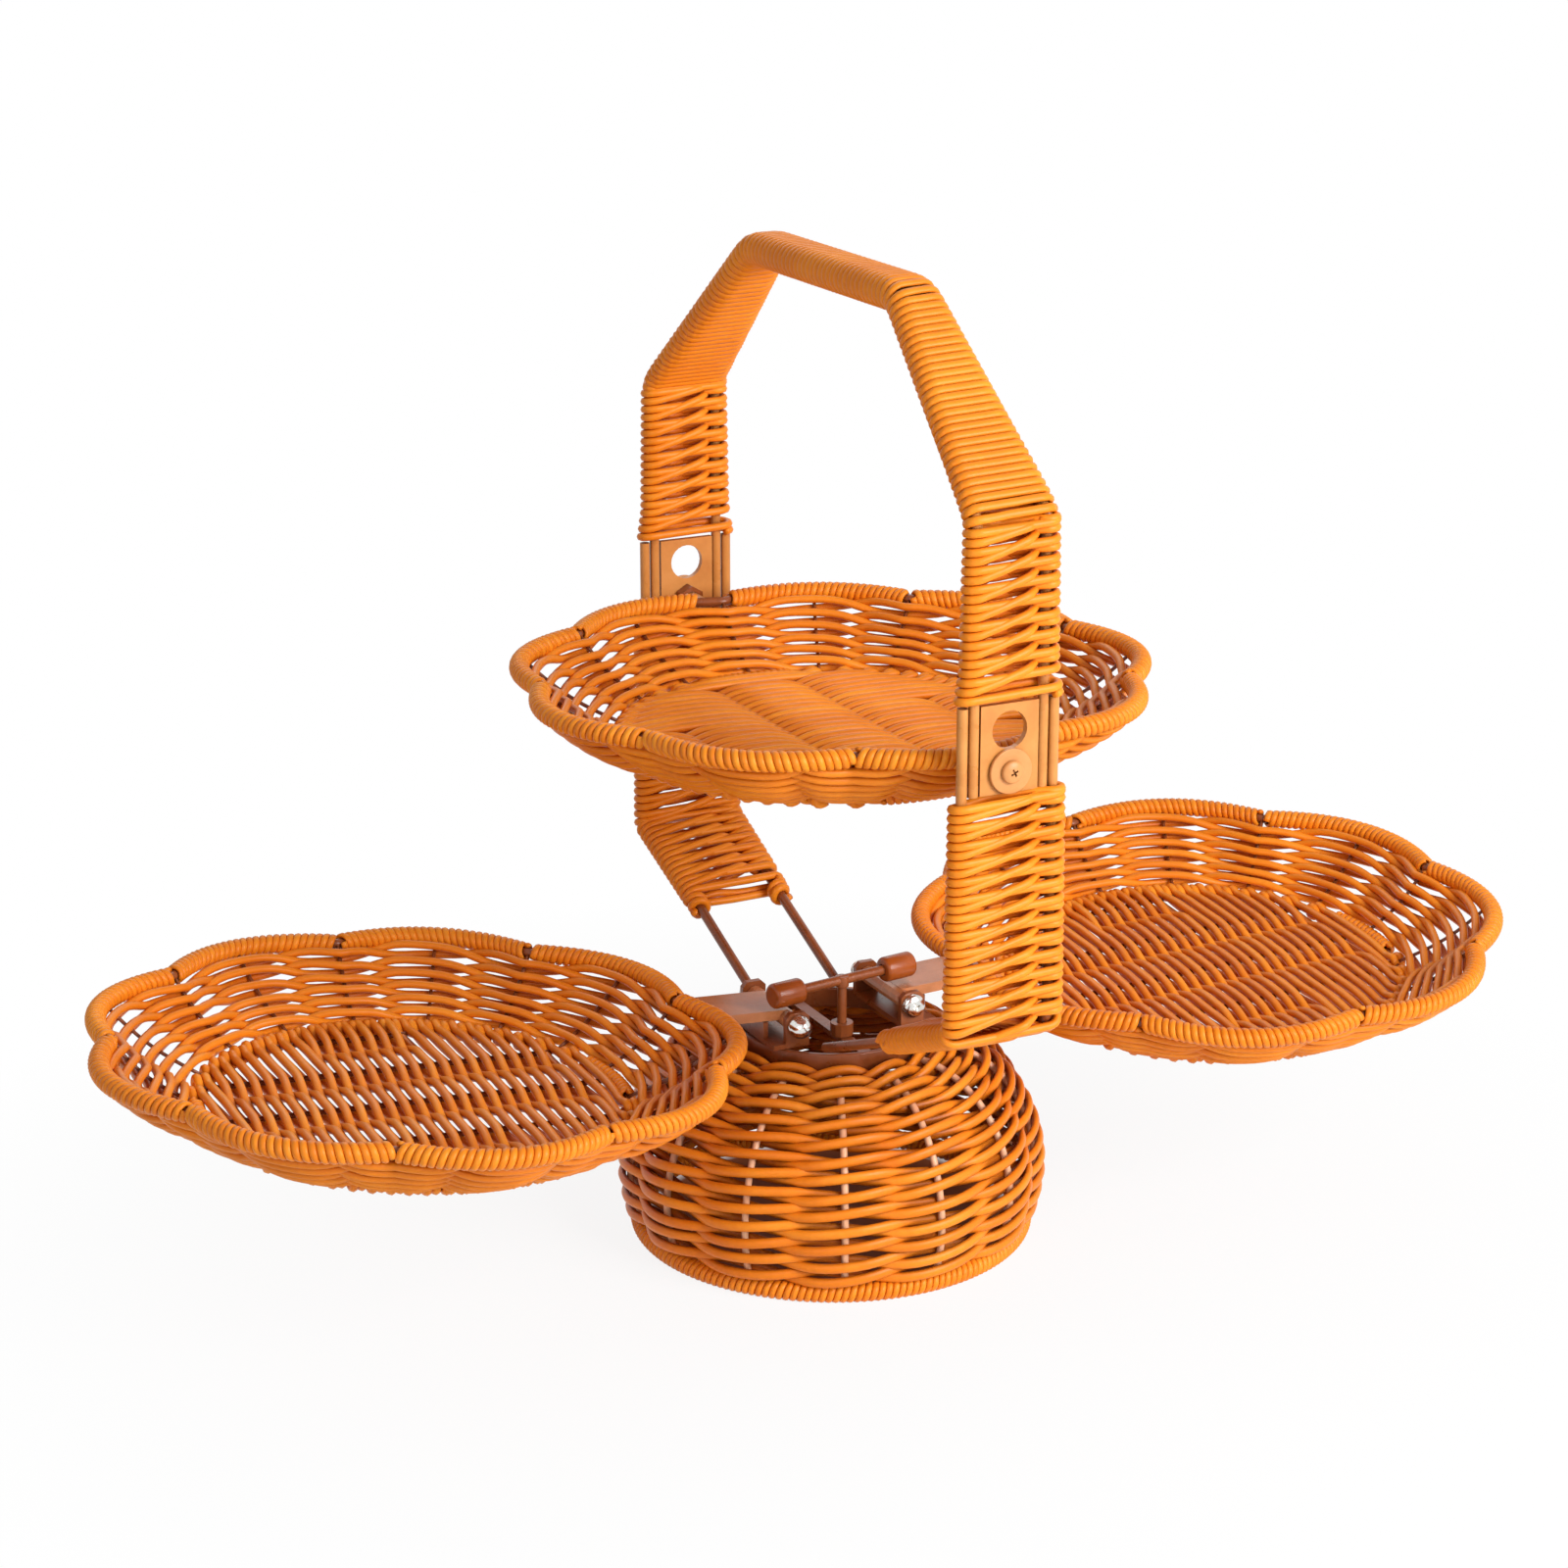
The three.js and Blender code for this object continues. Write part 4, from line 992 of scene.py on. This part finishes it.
def handle_rod(hand):
    """One of the two long rods, from the front plate over the crown to the back plate."""
    stops = (
        (INNER_ROD, HANDLE_SPREAD, PLATE_FOOT),
        (INNER_ROD, HANDLE_SPREAD, SHOULDER_HEIGHT),
        (CROWN_ROD, CROWN_SPREAD, CROWN_HEIGHT),
    )
    back = [(hand * x, y, z) for x, y, z in stops]
    front = [(x, -y, z) for x, y, z in back]
    return rod(front + back[::-1])


def leg_rod(hand, side):
    """The rod from beside a plate down to the knee and in to the band."""
    stops = (
        (OUTER_ROD, HANDLE_SPREAD, PLATE_TOP),
        (OUTER_ROD, HANDLE_SPREAD, KNEE_HEIGHT),
        (OUTER_ROD, *BRACE_END),
    )
    return rod([(hand * x, side * y, z) for x, y, z in stops])


for name, hand in HANDS.items():
    build(f"handle_rod_{name}_smooth", handle_rod(hand), "stand", rod_paint,
          [f"handle_rod_{name}"], sharp=50)
    for leg, side in LEGS.items():
        build(f"{leg}_leg_rod_{name}_smooth", leg_rod(hand, side), "stand", rod_paint,
              [f"{leg}_leg_rod_{name}"], sharp=50)


def leg_lacing(side):
    """The lacing above a plate, and the one from the plate round the knee down the brace."""
    spread = side * HANDLE_SPREAD
    upper = handle_path([
        (spread, SHOULDER_HEIGHT - GRIP_TAIL + LACE_UNDER_GRIP),
        (spread, PLATE_TOP + LACE_GAP),
    ])
    upper_rods = [
        (0, INNER_ROD),
        (UPPER_FLARE_AT, INNER_ROD + UPPER_FLARE_SHARE * UPPER_FLARE),
        (1, INNER_ROD + UPPER_FLARE),
    ]
    knee = np.array([spread, KNEE_HEIGHT])
    brace = knee + BRACE_SHARE * (np.array([side * BRACE_END[0], BRACE_END[1]]) - knee)
    lower = handle_path([(spread, PLATE_FOOT - LACE_GAP), knee, brace])
    knee_share = (PLATE_FOOT - KNEE_HEIGHT) / (PLATE_FOOT - KNEE_HEIGHT + math.dist(knee, brace))
    lower_rods = [(0, OUTER_ROD), (knee_share, OUTER_ROD + LACE_FLARE), (1, OUTER_ROD)]
    return lacing(upper, upper_rods), lacing(lower, lower_rods, BRACE_TURNS)


for leg, side in LEGS.items():
    upper, lower = leg_lacing(side)
    build(f"{leg}_upper_lacing", upper, "stand", cane, [f"{leg}_upper_wrap"])
    build(f"{leg}_lower_lacing", lower, "stand", cane,
          [f"{leg}_lower_wrap", f"{leg}_brace_wrap"])


# Hardware

def cross_recess(arm, half, low, high):
    """A plain cross standing along Z, for a recess."""
    quarter = [(arm, -half), (arm, half), (half, half)]
    outline = []
    for _ in range(4):
        outline += quarter
        quarter = [(-y, x) for x, y in quarter]
    count = len(outline)
    points = np.array([[x, y, z] for z in (low, high) for x, y in outline])
    sides = [[i, (i + 1) % count, count + (i + 1) % count, count + i] for i in range(count)]
    return points, [list(range(count))[::-1], list(range(count, 2 * count)), *sides]


def screw(shank, length, head, height, recess, turn):
    """A pan-headed screw with a cross recess, its seat at z = 0, and the tool for the recess."""
    dome = [
        (head * math.cos(a), height * (HEAD_RIM_SHARE + (1 - HEAD_RIM_SHARE) * math.sin(a)))
        for a in np.radians(np.linspace(*HEAD_SWEEP, 9))
    ]
    profile = [(0, -length), (shank, -length), (shank, 0), (head, 0), *dome, (0, height)]
    cross = cross_recess(
        recess, recess * RECESS_ARM_SHARE, height * RECESS_DEPTH_SHARE, height + RECESS_CLEARANCE)
    return [revolve(profile)], place([cross], Matrix.Rotation(math.radians(turn), 4, "Z"))


def domed_nut(radius, length, bore, depth):
    """A domed nut with a turned collar, its blind bore opening at z = 0."""
    crown = radius * DOME_SHARE
    dome_base = length - crown
    dome = [
        (crown * math.cos(a), dome_base + crown * math.sin(a))
        for a in np.radians(np.linspace(*DOME_SWEEP, 12))
    ]
    foot = round_edge((radius - NUT_EDGE, NUT_EDGE), NUT_EDGE, -90)
    profile = [
        (0, depth), (bore, depth), (bore, 0), *foot, (radius, dome_base - NUT_COLLAR), *dome, (0, length)]
    return [revolve(profile)]


def washer(bore, radius, thickness):
    outer = radius - WASHER_EDGE
    low = round_edge((outer, WASHER_EDGE), WASHER_EDGE, -90)
    high = round_edge((outer, thickness - WASHER_EDGE), WASHER_EDGE, 0)
    return [revolve([(bore, 0), *low, *high, (bore, thickness)], 72)]


for leg, side in LEGS.items():
    seat = HANDLE_SPREAD + PLATE_THICKNESS / 2 + 2 * FIT_GAP + WASHER_THICKNESS
    shape, recess = screw(
        PIN_RADIUS, seat - RIM_NOTCH - RIM_TUBE, PIN_HEAD, PIN_HEAD_HEIGHT, PIN_RECESS, PIN_TURN)
    at = facing_y(side, 0, side * seat, PIN_HEIGHT)
    build(f"{leg}_pin_screw", place(shape, at), "top_tray", washer_paint,
          [f"{leg}_pin"], cutter=place(recess, at), sharp=35)
    at = facing_y(side, 0, side * (seat - FIT_GAP - WASHER_THICKNESS), PIN_HEIGHT)
    disc = washer(PIN_RADIUS + FIT_GAP, WASHER_RADIUS, WASHER_THICKNESS)
    build(f"{leg}_washer_disc", place(disc, at), "top_tray", washer_paint,
          [f"{leg}_washer"], sharp=35)

for name, hand in HANDS.items():
    head_side = -hand
    shape, recess = screw(
        BOLT_RADIUS, 2 * BOLT_SEAT + BOLT_END, BOLT_HEAD, BOLT_HEAD_HEIGHT, BOLT_RECESS, BOLT_TURN)
    at = facing_y(head_side, hand * PIVOT_OFFSET, head_side * BOLT_SEAT, PIVOT_HEIGHT)
    build(f"{name}_hinge_screw", place(shape, at), "stand", chrome,
          [f"{name}_hinge_bolt"], cutter=place(recess, at), sharp=35)
    at = facing_y(-head_side, hand * PIVOT_OFFSET, -head_side * BOLT_SEAT, PIVOT_HEIGHT)
    nut = domed_nut(DOME_NUT, DOME_NUT_LENGTH, BOLT_RADIUS + FIT_GAP, BOLT_END + FIT_GAP)
    build(f"{name}_domed_nut", place(nut, at), "stand", chrome,
          [f"{name}_hinge_nut"], sharp=35)


# Band and lock bar

def band():
    """The band's section, with its four edges rounded, turned about Z."""
    inner, outer = BAND_RADIUS - BAND_WALL + BAND_EDGE, BAND_RADIUS - BAND_EDGE
    low, high = BAND_TOP - BAND_WIDTH + BAND_EDGE, BAND_TOP - BAND_EDGE
    corners = {180: (inner, low), 270: (outer, low), 0: (outer, high), 90: (inner, high)}
    profile = []
    for start, corner in corners.items():
        profile += round_edge(corner, BAND_EDGE, start)
    return [revolve(profile, 120)]


build("base_band_ring", band(), "stand", steel, ["base_band"], sharp=50)


def lock_cap():
    """A plastic cap along Z over the rod's end, with rounded rims."""
    inner, bore = CAP_END - CAP_LENGTH, LOCK_ROD + FIT_GAP
    low = round_edge((CAP_RADIUS - CAP_EDGE, inner + CAP_EDGE), CAP_EDGE, -90)
    high = round_edge((CAP_RADIUS - CAP_EDGE, CAP_END - CAP_EDGE), CAP_EDGE, 0)
    profile = [(0, inner + CAP_BORE), (bore, inner + CAP_BORE), (bore, inner), *low, *high, (0, CAP_END)]
    return [revolve(profile)]


def lock_bar():
    """The stem, the cross rod and the boss where they meet, along Z with the rod along X."""
    rod_reach = CAP_END - CAP_LENGTH + CAP_BORE - FIT_GAP
    stem = [[0, 0, CROSS_BAR_TOP + FIT_GAP], [0, 0, LOCK_HEIGHT]]
    cross_rod = [[-rod_reach, 0, LOCK_HEIGHT], [rod_reach, 0, LOCK_HEIGHT]]
    underside, low, high, crown = HUB_HEIGHTS
    foot, shoulder = round_edge((HUB_RIM, low), HUB_EDGE, -90), round_edge((HUB_RIM, high), HUB_EDGE, 0)
    hub = revolve([(0, underside), *foot, *shoulder, (0, crown)])
    return [
        tube(np.array(stem), SIDEWAYS, STEM_RADIUS, sides=20),
        tube(np.array(cross_rod), UP, LOCK_ROD, sides=20),
        *place([hub], Matrix.Translation((0, 0, LOCK_HEIGHT))),
    ]


lock_at = Matrix.Translation((0, LOCK_OFFSET, 0)) @ Matrix.Rotation(math.radians(LOCK_TURN), 4, "Z")
build("lock_bar_smooth", place(lock_bar(), lock_at), "lock", steel, ["lock_bar"], sharp=50)
for name, hand in HANDS.items():
    turned = Matrix.Translation((0, 0, LOCK_HEIGHT)) @ Matrix.Rotation(math.radians(90 * hand), 4, "Y")
    build(f"{name}_lock_cap_smooth", place(lock_cap(), lock_at @ turned), "lock",
          cap_plastic, [f"{name}_lock_cap"], sharp=50)


# Stage, camera and lights

FLOOR_SIZE = 12
PAPER = (0.9, 0.9, 0.9, 1)
# Painted shade: the floor's glow turns dark brown under the base's dome.
PAINTED_DOME_SHADE_TONES = [(0.06, (0.05, 0.01, 0.003)), (0.072, (0.12, 0.03, 0.01)), (0.078, (1.0, 1.0, 1.0))]
SHADOW_REACH = (0.1, 0.4)
SHADOW_SHARE = 0.12
WORLD_LIGHT = 0.28
LAMPS = {
    "key": {"spot": (0.42, -1.08, 0.66), "size": 0.7, "power": 17.5},
    "fill": {"spot": (-1.2, -1.3, 0.8), "size": 1.0, "power": 5.5},
    "rim": {"spot": (0.3, 1.4, 1.3), "size": 1.0, "power": 5.0},
}
AIM = Vector((0, 0, 0.15))
CAMERA_SPOT = (-0.60271, -1.17713, 0.60227)
CAMERA_AZIMUTH = -26.3
CAMERA_ELEVATION = 17.61
SENSOR_WIDTH = 36.0
FOCAL_SHARE = 3665.63 / 1600
CLIP = (0.05, 20.0)


def seen_rays(nodes, links):
    """1 for the rays that show a surface: from the camera, in a reflection or through glass."""
    outputs = nodes.new("ShaderNodeLightPath").outputs
    rays = math_node(nodes, links, "MAXIMUM", outputs["Is Camera Ray"], outputs["Is Glossy Ray"])
    return math_node(nodes, links, "MAXIMUM", rays, outputs["Is Transmission Ray"])


def white_floor():
    """White to the camera and in reflections, with the object's shadow near it, and painted shade in its
    glow under the dome.
    """
    material = bpy.data.materials.new("floor")
    material.use_nodes = True
    nodes, links = material.node_tree.nodes, material.node_tree.links
    nodes.clear()
    output = nodes.new("ShaderNodeOutputMaterial")
    paper = nodes.new("ShaderNodeBsdfDiffuse")
    paper.inputs["Color"].default_value = PAPER
    reach = nodes.new("ShaderNodeVectorMath")
    reach.operation = "LENGTH"
    links.new(nodes.new("ShaderNodeNewGeometry").outputs["Position"], reach.inputs[0])
    shade = ramp_node(nodes, links, reach.outputs["Value"], PAINTED_DOME_SHADE_TONES)
    glow = nodes.new("ShaderNodeEmission")
    glow.inputs["Strength"].default_value = 1.0
    links.new(shade.outputs["Color"], glow.inputs["Color"])
    share = nodes.new("ShaderNodeMapRange")
    share.inputs["From Min"].default_value, share.inputs["From Max"].default_value = SHADOW_REACH
    share.inputs["To Min"].default_value, share.inputs["To Max"].default_value = SHADOW_SHARE, 0.0
    links.new(reach.outputs["Value"], share.inputs["Value"])
    seen = nodes.new("ShaderNodeMixShader")
    links.new(share.outputs["Result"], seen.inputs["Fac"])
    links.new(glow.outputs["Emission"], seen.inputs[1])
    links.new(paper.outputs["BSDF"], seen.inputs[2])
    choice = nodes.new("ShaderNodeMixShader")
    links.new(seen_rays(nodes, links), choice.inputs["Fac"])
    links.new(paper.outputs["BSDF"], choice.inputs[1])
    links.new(seen.outputs["Shader"], choice.inputs[2])
    links.new(choice.outputs["Shader"], output.inputs["Surface"])
    return material


def add_floor():
    bpy.ops.mesh.primitive_plane_add(size=FLOOR_SIZE)
    floor = bpy.context.object
    floor.name = "floor"
    floor.data.materials.append(white_floor())


def add_world():
    world = bpy.data.worlds.new("studio")
    bpy.context.scene.world = world
    world.use_nodes = True
    nodes, links = world.node_tree.nodes, world.node_tree.links
    background = nodes["Background"]
    background.inputs["Color"].default_value = (1, 1, 1, 1)
    strength = range_node(nodes, links, seen_rays(nodes, links), WORLD_LIGHT, 1.0)
    links.new(strength.outputs["Result"], background.inputs["Strength"])


def add_lamp(name, spot, size, power):
    data = bpy.data.lights.new(name, "AREA")
    data.size, data.energy = size, power
    lamp = bpy.data.objects.new(name, data)
    lamp.location = spot
    lamp.rotation_euler = (AIM - Vector(spot)).to_track_quat("-Z", "Y").to_euler()
    bpy.context.scene.collection.objects.link(lamp)


def add_camera():
    data = bpy.data.cameras.new("camera")
    data.sensor_width = SENSOR_WIDTH
    data.lens = SENSOR_WIDTH * FOCAL_SHARE
    data.clip_start, data.clip_end = CLIP
    camera = bpy.data.objects.new("camera", data)
    camera.location = CAMERA_SPOT
    camera.rotation_euler = (math.radians(90 - CAMERA_ELEVATION), 0, math.radians(CAMERA_AZIMUTH))
    bpy.context.scene.collection.objects.link(camera)
    bpy.context.scene.camera = camera


add_camera()
add_floor()
add_world()
for name, lamp in LAMPS.items():
    add_lamp(name, **lamp)
bpy.context.scene.view_settings.view_transform = "Standard"
